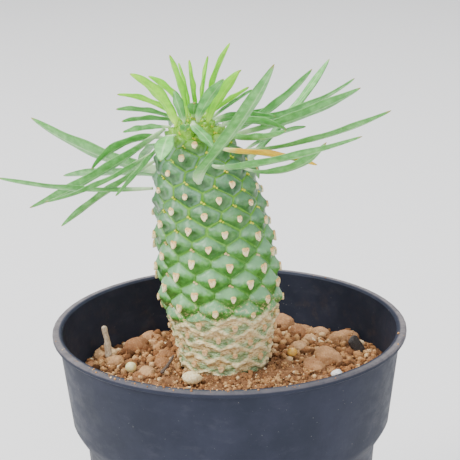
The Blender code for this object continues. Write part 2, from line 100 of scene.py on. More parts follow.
# Leaves: (tubercle, heading, rise at base, rise at tip, length, width, blade roll), lengths in millimetres
LEAVES = [
    (27, -86, -2, 15, 38, 3.8, 33), (-2, -98, -38, -24, 41, 4.3, 37), (9, -69, -31, -6, 29.5, 3.6, 34),
    (16, -98, -31, -41, 30, 3.8, 32), (2, -68, -46, -42, 17, 3.6, 32), (23, -125, -1, 23, 44, 5.8, 62),
    (30, -130, -3, -15, 43, 4.7, 32), (5, -97, 6, -55, 22.5, 3.6, 37), (-6, -105, 8, -15, 16, 3.1, 32),
    (-9, -85, 4, -14, 11, 2.9, 32), (-5, -10, 0, -34, 12, 4.6, 0), (-13, -95, 22, -5, 15.5, 3.1, 32),
    (-20, -100, 40, 0, 16.5, 3.1, 32), (-16, -84, 74, 26, 17.5, 4.0, 50), (-24, -108, 62, 22, 14, 3.1, 50),
    (-23, -62, 72, 74, 8.5, 2.5, 50), (-31, -105, 80, 68, 15.5, 2.9, 50), (-17, -140, 80, 62, 13.5, 2.9, 50),
    (-28, -125, 80, 84, 13.5, 3.4, 55), (-32, 150, 84, 62, 14.5, 2.5, 50), (-25, 108, 86, 55, 19, 2.9, 45),
    (-26, 58, 64, 44, 14, 3.4, 30), (-21, 118, 55, 25, 15.5, 3.1, 50), (-22, 74, 68, 46, 15.5, 3.1, 50),
    (-29, 97, 34, 30, 13, 2.5, 32), (-14, 120, 30, 20, 13, 2.7, 32), (-37, 5, 60, 30, 6, 3.0, 0),
    (-18, 84, 16, -12, 15, 2.9, 32), (17, 38, 38, 54, 49, 5.4, 0), (22, 125, 30, 50, 37, 5.0, 10),
    (4, 112, 16, 46, 28, 4.2, 55), (0, 95, 10, 28, 33, 4.9, 42), (-7, 105, -5, 34, 36, 4.5, 37),
    (11, 101, 30, 4, 16.5, 3.1, 32), (-11, 78, 22, -25, 16.5, 3.8, 37), (-4, 62, -6, 26, 17, 3.8, 37),
    (7, 89, 5, 26, 37.5, 3.6, 32), (10, 77, 8, 22, 40, 3.8, 32), (3, 90, 2, -20, 24, 3.1, 42),
    (14, 68, -9, 54, 24, 3.6, 32), (-3, 115, 0, 14, 20, 3.1, 32), (-19, 42, -20, -40, 10, 3.4, 0),
    (8, 172, 10, -45, 34, 3.6, 0), (15, 160, -10, -50, 30, 3.6, 0), (19, -172, -5, -50, 33, 3.8, 0),
    (12, -158, 0, -50, 30, 3.4, 0), (1, -168, 8, -35, 28, 3.4, 0), (-10, 172, 5, -30, 22, 3.0, 0),
    (26, 178, -25, -55, 24, 3.6, 0), (-12, 10, 30, 20, 5.5, 2.4, 0),
]
YOUNG_LEAVES = (13, 14, 15, 17, 18, 19, 20, 21, 23, 24, 25)
DRY_LEAF = 39
LEAF_GAP = 0.35 * MM
LEAF_HALF_THICKNESS = 0.475 * MM
LEAF_TURN_SHARE = 0.35
LEAF_FOOT_SHARE = 0.42
LEAF_WIDEST_AT = 0.55
LEAF_STEPS, LEAF_SIDES = 100, 22

# Soil
SOIL_EDGE_DROP = 6.5 * MM
SOIL_GAP = 0.35 * MM
SOIL_BOTTOM = 1.9 * MM
LUMP_SHARE = 0.72
# (azimuth, distance, radius, height) in millimetres of each large lump of clay
SOIL_LUMPS = [
    (-120, 28.5, 4.5, 4.0), (-115, 37, 4.0, 3.0), (-100, 30, 3.5, 2.5), (-139, 32, 4.0, 3.0),
    (-160, 33, 5.0, 3.0), (175, 32, 5.0, 3.0), (154, 33, 4.5, 5.0), (138, 27, 4.0, 3.5),
    (116, 32, 4.5, 4.0), (122, 38, 4.0, 3.5), (92, 25, 5.5, 3.0), (74, 23, 3.0, 2.0),
]

CAMERA_TARGET = Vector((0.56 * MM, 0, 103.26 * MM))
CAMERA_DISTANCE = 0.450
CAMERA_PITCH = 17.78
CAMERA_ROLL = -0.98
CAMERA_LENS = 140.5


# ---- shared shape tools ----


def direction(azimuth, rise=0.0):
    """Unit vectors: azimuth in degrees turns from the front (-Y) towards +X, and rise lifts towards +Z."""
    turn, lift = np.radians(azimuth), np.radians(rise)
    flat = np.cos(lift)
    return np.stack([np.sin(turn) * flat, -np.cos(turn) * flat, np.sin(lift) + 0 * turn], -1)


def smooth_step(value, low, high):
    """0 below low, 1 above high, and the cubic 3t^2 - 2t^3 between."""
    share = np.clip((value - low) / (high - low), 0, 1)
    return share * share * (3 - 2 * share)


def noise_at(points, size, seed=0):
    """Smooth noise from -1 to 1: a random value at each point of a grid of this size, blended by cubics."""
    places = np.asarray(points) / size
    whole = np.floor(places).astype(np.int64)
    part = places - whole
    part = part * part * (3 - 2 * part)
    total = np.zeros(places.shape[:-1])
    for corner in product((0, 1), repeat=3):
        at = whole + corner
        mixed = (at[..., 0] * 73856093) ^ (at[..., 1] * 19349663) ^ (at[..., 2] * 83492791)
        mixed = mixed ^ (seed * 2654435761)
        mixed = (mixed ^ (mixed >> 13)) * 1274126177 & 0xFFFFFFFF
        mixed = (mixed ^ (mixed >> 16)) * 668265263 & 0xFFFFFFFF
        value = (mixed & 0xFFFF) / 32767.5 - 1
        weight = np.prod(np.where(np.array(corner) == 1, part, 1 - part), axis=-1)
        total += weight * value
    return total


def rough_noise(points, size, octaves, seed=0):
    """Sum of noises, each of half the size and half the height of the one before."""
    return sum(noise_at(points, size / 2**i, seed + i) / 2**i for i in range(octaves))


def tube_faces(rows, columns):
    """Triangles of rows rings of columns points, then the pole points of the first and the last ring."""
    row, column = np.arange(rows - 1)[:, None], np.arange(columns)[None, :]
    a, b = row * columns + column, row * columns + (column + 1) % columns
    sides = np.stack([a, b, b + columns, a, b + columns, a + columns], -1).reshape(-1, 3)
    column = np.arange(columns)
    after, first = (column + 1) % columns, np.full(columns, rows * columns)
    start = np.stack([first, after, column], -1)
    last = (rows - 1) * columns
    end = np.stack([first + 1, last + column, last + after], -1)
    return np.concatenate([sides, start, end])


def copied_faces(faces, count, points):
    """Faces of this many copies of one form, each with its own run of points."""
    return (faces[None] + (np.arange(count) * points)[:, None, None]).reshape(-1, 3)


def sphere(rows, columns):
    """Points of a unit sphere: its rings from the bottom up, then its bottom and its top."""
    polar, turn = (np.arange(rows) + 1) / (rows + 1) * pi, np.arange(columns) / columns * tau
    x, y = np.outer(np.sin(polar), np.cos(turn)), np.outer(np.sin(polar), np.sin(turn))
    rings = np.stack([x, y, -np.outer(np.cos(polar), np.ones(columns))], -1).reshape(-1, 3)
    return np.concatenate([rings, [[0, 0, -1], [0, 0, 1]]])


def make_piece(name, points, faces, material, replaced=(), attributes=None):
    """Puts whole arrays of points and triangles into one smooth mesh object that rides on the pot."""
    points, faces = np.asarray(points, np.float32), np.asarray(faces, np.int32)
    mesh = bpy.data.meshes.new(name)
    mesh.vertices.add(len(points))
    mesh.vertices.foreach_set("co", points.ravel())
    mesh.loops.add(faces.size)
    mesh.loops.foreach_set("vertex_index", faces.ravel())
    mesh.polygons.add(len(faces))
    mesh.polygons.foreach_set("loop_start", np.arange(0, faces.size, 3, dtype=np.int32))
    mesh.update(calc_edges=True)
    mesh.shade_smooth()
    for key, values in (attributes or {}).items():
        values = np.asarray(values, np.float32).ravel()
        mesh.attributes.new(key, "FLOAT", "POINT").data.foreach_set("value", values)
    mesh.materials.append(material)
    piece = bpy.data.objects.new(name, mesh)
    bpy.context.scene.collection.objects.link(piece)
    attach(piece, "root")
    if replaced:
        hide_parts(*replaced)
    return piece


# ---- shared material tools ----


class Finish:
    """One node material, with short calls for the nodes that the finishes share."""

    def __init__(self, name):
        self.material = bpy.data.materials.new(name)
        self.material.use_nodes = True
        self.tree = self.material.node_tree
        self.shader = self.tree.nodes["Principled BSDF"]
        self.place = self.add("ShaderNodeTexCoord").outputs["Object"]

    def add(self, kind, inputs=None, **settings):
        made = self.tree.nodes.new(kind)
        for key, value in settings.items():
            setattr(made, key, value)
        for key, value in (inputs or {}).items():
            self.put(made.inputs[key], value)
        return made

    def put(self, socket, value):
        if isinstance(value, bpy.types.NodeSocket):
            self.tree.links.new(value, socket)
        elif hasattr(value, "__len__") and len(value) == 3 and socket.type == "RGBA":
            socket.default_value = (*value, 1.0)
        else:
            socket.default_value = value

    def set(self, **inputs):
        for key, value in inputs.items():
            self.put(self.shader.inputs[key.replace("_", " ")], value)

    def attribute(self, name):
        return self.add("ShaderNodeAttribute", attribute_name=name).outputs["Fac"]

    def stretched(self, scale):
        return self.add("ShaderNodeMapping", {"Vector": self.place, "Scale": scale}).outputs["Vector"]

    def noise(self, size, detail=4.0, roughness=0.55, place=None):
        """Noise whose features are about this size in metres."""
        inputs = {"Vector": place or self.place, "Scale": 1 / size, "Detail": detail, "Roughness": roughness}
        return self.add("ShaderNodeTexNoise", inputs).outputs["Fac"]

    def cells(self, size):
        """Distance from the middle of a random cell of this size."""
        return self.add("ShaderNodeTexVoronoi", {"Vector": self.place, "Scale": 1 / size}).outputs["Distance"]

    def math(self, operation, a, b=0.0):
        return self.add("ShaderNodeMath", {0: a, 1: b}, operation=operation).outputs[0]

    def times(self, a, b):
        return self.math("MULTIPLY", a, b)

    def plus(self, a, b):
        return self.math("ADD", a, b)

    def fade(self, value, low, high, first=0.0, last=1.0):
        """Runs smoothly from first to last while the value runs from low to high."""
        inputs = {"Value": value, "From Min": low, "From Max": high, "To Min": first, "To Max": last}
        return self.add("ShaderNodeMapRange", inputs, interpolation_type="SMOOTHSTEP").outputs["Result"]

    def mix(self, share, a, b):
        made = self.add("ShaderNodeMix", data_type="RGBA")
        for socket, value in zip((made.inputs[0], made.inputs[6], made.inputs[7]), (share, a, b)):
            self.put(socket, value)
        return made.outputs[2]

    def ramp(self, value, stops):
        made = self.add("ShaderNodeValToRGB", {"Fac": value})
        elements = made.color_ramp.elements
        while len(elements) < len(stops):
            elements.new(0.5)
        for element, (position, colour) in zip(elements, stops):
            element.position = position
            element.color = (*colour, 1.0)
        return made.outputs["Color"]

    def bump(self, height, distance, strength):
        inputs = {"Height": height, "Distance": distance, "Strength": strength}
        self.set(Normal=self.add("ShaderNodeBump", inputs).outputs["Normal"])


# ---- trunk ----


def trunk_axis(height):
    """Middle of the trunk at a height: it leans left and bends with its squared height above the soil."""
    above = np.maximum(height - SOIL_LINE, 0.0)
    x = TRUNK_FOOT_X - TRUNK_LEAN * above - TRUNK_CURVE * above * above
    return np.stack([x, TRUNK_Y + 0 * above, height], -1)


def profile_at(number):
    """(tip radius, height) at a tubercle number: the profile's straight lines, averaged over four numbers
    each way."""
    numbers, radii, heights = TRUNK_PROFILE.T
    steps = (-4, -2, 0, 2, 4)
    radius = sum(np.interp(number + s, numbers, radii) for s in steps) / len(steps)
    height = sum(np.interp(number + s, numbers, heights) for s in steps) / len(steps)
    return radius * MM, SOIL_LINE + height * MM


def row_shift(number, azimuth):
    """How many numbers lower a row lies at this azimuth: a tilted, sagging ring, level at the crown."""
    turn = np.radians(azimuth)
    shift = ROW_SAG * (1 - np.cos(turn)) - ROW_TILT * np.sin(turn) - ROW_RAISE
    return shift * smooth_step(number, *SETS_IN)


def tubercle_place(tubercle):
    """(row, azimuth) of a tubercle's middle: its turn, narrowed in front, its number and its row's shift."""
    turned = FIRST_AZIMUTH + TURN * tubercle
    azimuth = turned - FRONT_NARROWING * np.sin(np.radians(turned)) * smooth_step(tubercle, *SETS_IN)
    row = tubercle + 0.0
    for _ in range(4):
        row = tubercle + row_shift(row, azimuth)
    return row, azimuth


def lattice(number, azimuth):
    """The tubercle that a point belongs to is the nearest one, with heights counted CELL_FLATNESS times, so
    the cells are flat hexagons. Returns the tubercle, the place to its right and below it, the distance from the
    nearest groove, which is (b^2 - a^2) / 2c for distances a and b to two tubercles that are c apart, and the
    same distance with the grooves between side-by-side neighbours left out."""
    radius, height = profile_at(number)
    radius_below, height_below = profile_at(number + 1)
    pitch = np.hypot(radius_below - radius, height_below - height)
    level = number - row_shift(number, azimuth)
    turned = azimuth + FRONT_NARROWING * np.sin(np.radians(azimuth)) * smooth_step(number, *SETS_IN)
    across = (turned - FIRST_AZIMUTH) / 20
    near = 11 * np.round((level + 7 * across) / 18) + 7 * np.round((level - 11 * across) / 18)
    tubercles = near[..., None] + np.array(NEIGHBOURS)
    row, middle = tubercle_place(tubercles)
    swing = (azimuth[..., None] - middle + 180) % 360 - 180
    right = np.radians(swing) * radius[..., None]
    below = (number[..., None] - row) * pitch[..., None] * CELL_FLATNESS
    away = right**2 + below**2
    first = np.argmin(away, -1)[..., None]
    own_right, own_below = np.take_along_axis(right, first, -1), np.take_along_axis(below, first, -1)
    gap = np.hypot(right - own_right, below - own_below)
    edge = (away - np.take_along_axis(away, first, -1)) / (2 * np.maximum(gap, 1e-6))
    edge = np.where(gap < 1e-5, 1.0, edge)
    beside = abs(right - own_right) > 1.6 * abs(below - own_below)
    tubercle = np.take_along_axis(tubercles, first, -1)[..., 0]
    own = (tubercle, own_right[..., 0], own_below[..., 0] / CELL_FLATNESS)
    return *own, edge.min(-1), np.where(beside, 1.0, edge).min(-1)


def trunk_frame(number, azimuth):
    """Tip point, outward direction square to the outline, and the direction down the trunk's side."""
    radius, height = profile_at(number)
    radius_above, height_above = profile_at(number - 2)
    radius_below, height_below = profile_at(number + 2)
    out, up = height_above - height_below, radius_below - radius_above
    size = np.hypot(out, up)
    outward = direction(azimuth) * (out / size)[..., None]
    outward[..., 2] += up / size
    point = trunk_axis(height) + direction(azimuth) * radius[..., None]
    across = direction(azimuth + 90)
    return point, outward, np.cross(across, outward)


def random_of(whole, seed):
    """A random share from 0 to 1 for each whole number."""
    mixed = (whole.astype(np.int64) + 1000) * 2654435761 + seed * 40503
    mixed = (mixed ^ (mixed >> 15)) * 2246822519 & 0xFFFFFFFF
    return ((mixed >> 8) & 0xFFFF) / 65535


def trunk_surface(number, azimuth):
    """Skin of the trunk. Each cell is a cone, g / (g + d) of the distances g from its groove and d from its
    middle, with rounded grooves, a steeper lower side, a nose in the middle and a hollow beside the nose. On
    the cork foot wavy ridges follow the rows. Returns the points and the finish's attributes."""
    tubercle, right, below, edge, row_edge = lattice(number, azimuth)
    point, outward, _ = trunk_frame(number, azimuth)
    radius, height = profile_at(number)
    level = number - row_shift(number, azimuth)
    old = smooth_step(level, 35, 70)
    size = np.clip(radius / (14 * MM), 0.3, 1.1)
    right, below, edge, row_edge = right / size, below / size, edge / size, row_edge / size
    edge = np.maximum(edge + 0.16 * MM * noise_at(point, 1.5 * MM, 3), 0)
    ridge = (0.35 - 0.14 * right / MM) * MM * old
    away = np.hypot(right, CELL_FLATNESS * (below - 0.5 * ridge))
    cone = edge / (edge + away + 1e-9)
    groove = 1 - np.exp(-((edge / (0.50 * MM)) ** 1.3))
    steep = smooth_step(below - ridge, 0.2 * MM, 2.4 * MM)
    nose = np.exp(-(((right / (1.25 * MM)) ** 2 + ((below + 0.1 * MM) / (1.15 * MM)) ** 2) ** 1.5))
    hollow = np.exp(-(((right - 0.9 * MM) / (1.25 * MM)) ** 2) - ((below - 0.60 * MM) / (0.95 * MM)) ** 2)
    ragged = noise_at(point, 2.2 * MM, 5)
    cork = smooth_step(0.8 * level + 0.2 * tubercle + 1.3 * ragged, CORK_FROM, CORK_FROM + 1.4)
    buried = smooth_step(SOIL_LINE - height, 0, 5 * MM)
    depth = np.minimum(TUBERCLE_DEPTH + (BURIED_DEPTH - TUBERCLE_DEPTH) * buried, radius * MOST_DEPTH_SHARE)
    shape = 0.72 * cone**0.8 + 0.36 * groove - 0.14 * steep * groove - 1
    shape = shape + 0.24 * nose - (0.34 - 0.10 * old) * hollow
    grain = 0.08 * MM * noise_at(point, 1.5 * MM, 13) + 0.05 * MM * noise_at(point, 0.6 * MM, 14)
    green_lift = depth * shape + grain
    flat = point * np.array([1, 1, 2.6])
    crack = rough_noise(flat, 3.0 * MM, 4, 9)
    ridged = np.exp(-(((row_edge + 0.5 * MM * crack) / (0.75 * MM)) ** 2))
    cork_lift = -0.66 * depth + 0.70 * MM * ridged + 0.40 * MM * rough_noise(flat, 1.5 * MM, 3, 12)
    cork_lift += 0.60 * MM * np.exp(-((right / (1.3 * MM)) ** 2) - (below / (0.6 * MM)) ** 2)
    lift = green_lift * (1 - cork) + cork_lift * cork
    points = point + outward * lift[..., None]
    # The hollow and roof attributes also tell the finish where to paint shade and sheen.
    attributes = {
        "edge": edge / (2 * MM), "row_edge": row_edge / (2 * MM), "right": right / (5 * MM),
        "roof": (below - ridge) / (3 * MM), "hollow": hollow * (1 - 0.3 * old), "crack": crack,
        "cork": cork, "number": level, "tone": random_of(tubercle, 1),
    }
    return points, attributes


def make_trunk():
    """A grid of tubercle numbers by azimuths, closed by one pole under the soil and one at the crown."""
    numbers = np.concatenate([[158, 150, 141], np.linspace(134, TRUNK_PROFILE[0, 0], 300)])
    columns = 320
    number, azimuth = np.meshgrid(numbers, np.arange(columns) * 360 / columns, indexing="ij")
    points, attributes = trunk_surface(number, azimuth)
    foot, top = points[0].mean(0) - [0, 0, 1.5 * MM], points[-1].mean(0) + [0, 0, 0.1 * MM]
    points = np.concatenate([points.reshape(-1, 3), [foot, top]])
    for key, values in attributes.items():
        attributes[key] = np.append(values.ravel(), [values[0, 0], values[-1, 0]])
    faces = tube_faces(len(numbers), columns)
    make_piece("trunk_skin", points, faces, skin_finish(), ["trunk"], attributes)


def skin_finish():
    """Waxy skin: painted shade in the hollow beside each nose and on the lower faces, a grey-green painted sheen
    on the upper face and the lower right rim, thin bright grooves with a painted shadow line down their middle
    low down, yellow-green at the crown, cream flecks low down, and a beige cork foot with grey-green hollows."""
    look = Finish("waxy_tubercle_skin")
    names = ("edge", "roof", "right", "number", "tone", "cork", "hollow", "crack", "row_edge")
    edge, roof, right, number, tone, cork, hollow, crack, row_edge = (look.attribute(name) for name in names)
    age = look.fade(number, 25, 80)
    mottle, fine = look.noise(1.6 * MM, 5), look.noise(0.45 * MM, 3)
    ragged = look.fade(look.noise(1.1 * MM, 4), 0.3, 0.7, -0.14, 0.14)
    deep = look.mix(age, (0.030, 0.115, 0.035), (0.052, 0.235, 0.028))
    mid = look.mix(age, (0.070, 0.225, 0.065), (0.120, 0.410, 0.065))
    green = look.mix(look.fade(mottle, 0.35, 0.68), deep, mid)
    # Painted shade: this darker green goes into the hollow beside each nose and onto the lower faces.
    dark = look.mix(age, (0.010, 0.048, 0.017), (0.020, 0.110, 0.010))
    green = look.mix(look.times(look.fade(hollow, 0.25, 0.85), 0.8), green, dark)
    roof_edge = look.plus(roof, ragged)
    # Painted shade: the lower face of each cell is darkened, away from the light above.
    under = look.times(look.fade(roof_edge, 0.10, 0.50), look.fade(number, 30, 62, 0.25, 0.50))
    green = look.mix(under, green, dark)
    # Painted sheen: a pale grey-green laid on the upper face of each cell, where the light from above falls.
    top_sheen = look.mix(age, (0.200, 0.400, 0.270), (0.290, 0.560, 0.330))
    upper = look.times(look.fade(roof_edge, 0.0, -0.42), look.fade(number, 20, 60, 0.35, 0.62))
    green = look.mix(look.times(upper, look.fade(edge, 0.03, 0.25)), green, top_sheen)
    # Painted sheen: a pale ring on the lower right rim of each cell, strongest near the crown.
    rim = look.times(look.fade(edge, 0.08, 0.24), look.fade(edge, 0.75, 0.36))
    rim = look.times(rim, look.fade(look.plus(right, look.times(ragged, 1.5)), 0.05, 0.40))
    rim = look.times(rim, look.fade(number, 62, 25, 0.0, 0.6))
    green = look.mix(rim, green, (0.26, 0.45, 0.33))
    bright = look.mix(age, (0.170, 0.450, 0.020), (0.200, 0.500, 0.070))
    groove = look.times(look.fade(edge, 0.24, 0.06), look.fade(number, 40, 66, 0.85, 0.5))
    green = look.mix(groove, green, bright)
    # Painted shadow: a thin dark line down the middle of each groove, stronger low on the trunk.
    line = look.times(look.fade(edge, 0.10, 0.02), look.fade(number, 46, 66, 0.0, 0.75))
    green = look.mix(line, green, (0.025, 0.130, 0.012))
    green = look.mix(look.times(tone, 0.22), green, (0.13, 0.36, 0.04))
    green = look.mix(look.times(look.fade(fine, 0.60, 0.75), 0.20), green, (0.28, 0.44, 0.16))
    green = look.mix(look.fade(number, 6, -10, 0.0, 0.8), green, (0.25, 0.52, 0.02))
    flecks = look.times(look.fade(number, 80, 93), look.fade(look.noise(0.8 * MM, 5, 0.7), 0.53, 0.60))
    flecks = look.times(flecks, look.fade(edge, 0.8, 0.1, 0.45, 1.0))
    green = look.mix(flecks, green, (0.92, 0.70, 0.36))
    grain = look.noise(1.0 * MM, 6, 0.68, look.stretched((1, 1, 3.2)))
    beige = look.ramp(grain, [
        (0.30, (0.48, 0.30, 0.11)), (0.41, (0.87, 0.66, 0.30)),
        (0.52, (0.98, 0.86, 0.48)), (0.72, (1.00, 0.95, 0.68)),
    ])
    flank = look.mix(look.fade(grain, 0.36, 0.56), (0.40, 0.24, 0.09), (0.92, 0.73, 0.38))
    lens = look.mix(look.fade(grain, 0.36, 0.60), (0.10, 0.23, 0.06), (0.50, 0.66, 0.36))
    patch = look.fade(look.noise(3.2 * MM, 3, 0.6, look.stretched((1, 1, 1.6))), 0.36, 0.47)
    lens = look.mix(look.times(look.fade(roof, -0.50, 0.05), patch), flank, lens)
    ridge = look.fade(look.plus(row_edge, look.times(crack, 0.20)), 0.54, 0.24)
    beige = look.mix(ridge, lens, beige)
    fibres = look.noise(1.4 * MM, 5, 0.68, look.stretched((1, 1, 4)))
    beige = look.mix(look.times(look.fade(fibres, 0.45, 0.36), 0.6), beige, (0.32, 0.18, 0.06))
    beige = look.mix(look.times(look.fade(fibres, 0.56, 0.64), 0.6), beige, (1.0, 0.94, 0.72))
    look.set(Base_Color=look.mix(cork, green, beige), Roughness=look.fade(cork, 0, 1, 0.34, 0.85))
    look.set(Specular_IOR_Level=0.55)
    look.bump(look.plus(look.noise(0.35 * MM, 4), look.times(look.noise(1.1 * MM, 3), 1.5)), 0.12 * MM, 0.45)
    look.set(Subsurface_Weight=0.05, Subsurface_Radius=(0.4, 1.0, 0.3), Subsurface_Scale=0.0012)
    return look.material


def domed_discs(centres, outward, down, outline, levels):
    """Small closed discs: each outline point (right, up) is scaled by a level's share and lifted by its
    height. Each disc ends in a pole below and one above."""
    across = np.cross(outward, down)
    spread = across[:, None] * outline[..., :1] - down[:, None] * outline[..., 1:]
    rings = [centres[:, None] + outward[:, None] * lift + spread * share for share, lift in levels]
    points = np.stack(rings, 1)
    count, rows, columns, _ = points.shape
    poles = [centres + outward * lift for _, lift in (levels[0], levels[-1])]
    points = np.concatenate([points.reshape(count, -1, 3), np.stack(poles, 1)], 1)
    faces = copied_faces(tube_faces(rows, columns)[:, ::-1], count, points.shape[1])
    return points.reshape(-1, 3), faces


def make_scars():
    """Leaf scars: discs on the nose of each tubercle that has lost its leaf, wide and notched above and
    pointed below, round near the crown and largest at half height."""
    leafy = {leaf[0] for leaf in LEAVES}
    tubercles = np.array([n for n in range(-6, 128) if n not in leafy])
    rows, azimuths = tubercle_place(tubercles.astype(float))
    centres, outward, down = trunk_frame(rows, azimuths)
    corky = smooth_step(rows, CORK_FROM, CORK_FROM + 6)
    large = np.exp(-(((tubercles - 62) / 24) ** 2))
    centres = centres + outward * (0.26 * MM - 0.60 * MM * corky)[:, None]
    outward = outward - down * 0.10
    outward /= np.linalg.norm(outward, axis=1)[:, None]
    down = down - outward * (down * outward).sum(1)[:, None]
    down /= np.linalg.norm(down, axis=1)[:, None]
    sides = 16
    angle = np.arange(sides) / sides * tau
    size = (0.68 + 0.24 * random_of(tubercles, 7) + 0.27 * large)[:, None] * MM
    pointed = np.clip(0.25 + large, 0, 1)[:, None]
    wide = np.sin(angle) * (0.86 + 0.30 * pointed * np.cos(angle))
    tall = np.cos(angle) * 1.05 - 0.30 * pointed * np.exp(-((np.minimum(angle, tau - angle) / 0.45) ** 2))
    tall = np.where(tall < 0, tall * (1 + 0.35 * pointed), tall)
    uneven = random_of(np.arange(len(tubercles) * sides), 8).reshape(-1, sides)
    jitter = 1 + 0.26 * (uneven - 0.5)
    outline = np.stack([wide * jitter * size, tall * jitter * size], -1)
    levels = [(0.7, -0.9 * MM), (1.0, -0.10 * MM), (0.90, 0.16 * MM), (0.62, 0.24 * MM), (0.34, 0.12 * MM)]
    points, faces = domed_discs(centres, outward, down, outline, levels)
    shares = np.repeat([1.0, 1.0, 0.85, 0.6, 0.3], sides)
    attributes = {
        "reach": np.tile(np.append(shares, [1.0, 0.0]), len(tubercles)),
        "rise": np.tile(np.append(shares * np.tile(np.cos(angle), len(levels)), [0.0, 0.0]), len(tubercles)),
        "tone": np.repeat(random_of(tubercles, 4), len(shares) + 2),
        "cork": np.repeat(corky, len(shares) + 2),
    }
    make_piece("leaf_scars", points, faces, scar_finish(), (), attributes)


def scar_finish():
    """Dry callus: cream at the lower point, tan above with brown specks, and browner on the cork."""
    look = Finish("leaf_scar_callus")
    reach, tone, rise, cork = (look.attribute(name) for name in ("reach", "tone", "rise", "cork"))
    speckle = look.noise(0.45 * MM, 4, 0.65)
    low = look.mix(tone, (1.0, 0.92, 0.58), (1.0, 0.80, 0.42))
    high = look.mix(tone, (0.90, 0.60, 0.22), (0.76, 0.42, 0.13))
    rise = look.plus(rise, look.fade(speckle, 0.3, 0.7, -0.4, 0.4))
    callus = look.mix(look.fade(rise, -0.25, 0.65), low, high)
    callus = look.mix(look.times(look.fade(speckle, 0.56, 0.66), 0.7), callus, (0.42, 0.20, 0.08))
    callus = look.mix(look.times(look.fade(reach, 0.5, 0.1), 0.40), callus, (0.74, 0.42, 0.16))
    callus = look.mix(look.times(cork, 0.5), callus, (0.78, 0.46, 0.24))
    look.set(Base_Color=callus, Roughness=0.75)
    look.bump(look.noise(0.25 * MM, 3), 0.10 * MM, 0.7)
    return look.material


def make_stipules():
    """Stipules: a pair of tiny teardrop scales in the groove above each nose, yellow-green high up and tan
    lower down."""
    tubercles = np.concatenate([np.arange(-30, 50), np.arange(50, 96, 2)])
    tubercles = np.concatenate([tubercles, tubercles])
    half = len(tubercles) // 2
    sign = np.repeat([-1.0, 1.0], half)
    rows, azimuths = tubercle_place(tubercles.astype(float))
    rows = rows - 6.4 + 0.4 * sign
    radius, _ = profile_at(rows)
    centres, outward, down = trunk_frame(rows, azimuths + np.degrees(sign * 0.30 * MM / radius))
    depth = np.minimum(TUBERCLE_DEPTH, radius * MOST_DEPTH_SHARE)
    centres = centres - outward * (0.66 * depth)[:, None]
    sides = 8
    angle = np.arange(sides) / sides * tau
    size = (0.24 + 0.12 * random_of(tubercles * 2 + (sign > 0), 12)) * MM
    teardrop = np.stack([1.25 * np.sin(angle), np.cos(angle) + 0.25 * np.cos(2 * angle)], -1)
    outline = teardrop[None] * size[:, None, None]
    levels = [(0.7, -0.4 * MM), (1.0, 0.05 * MM), (0.55, 0.26 * MM)]
    points, faces = domed_discs(centres, outward, down, outline, levels)
    each = sides * len(levels) + 2
    age, tone = smooth_step(rows, 42, 56), random_of(tubercles, 6)
    attributes = {"age": np.repeat(age, each), "tone": np.repeat(tone, each)}
    make_piece("stipule_scales", points, faces, stipule_finish(), (), attributes)


def stipule_finish():
    look = Finish("stipule_scale")
    tone = look.attribute("tone")
    young = look.mix(tone, (0.50, 0.62, 0.02), (0.74, 0.66, 0.05))
    old = look.mix(tone, (0.62, 0.42, 0.16), (0.80, 0.62, 0.34))
    colour = look.mix(look.attribute("age"), young, old)
    specked = look.mix(look.fade(look.noise(0.3 * MM), 0.5, 0.8), colour, (0.30, 0.24, 0.04))
    look.set(Base_Color=specked, Roughness=0.6)
    return look.material


# ---- leaves ----


def leaf_width(share):
    """Share of the full width: a narrow foot, a sine up to the widest point, then a small rounded tip."""
    rising = LEAF_FOOT_SHARE + (1 - LEAF_FOOT_SHARE) * np.sin(pi / 2 * share / LEAF_WIDEST_AT)
    past = np.clip((share - LEAF_WIDEST_AT) / (1 - LEAF_WIDEST_AT), 0, 0.996)
    return np.where(share < LEAF_WIDEST_AT, rising, np.cos(pi / 2 * past) ** 0.7)


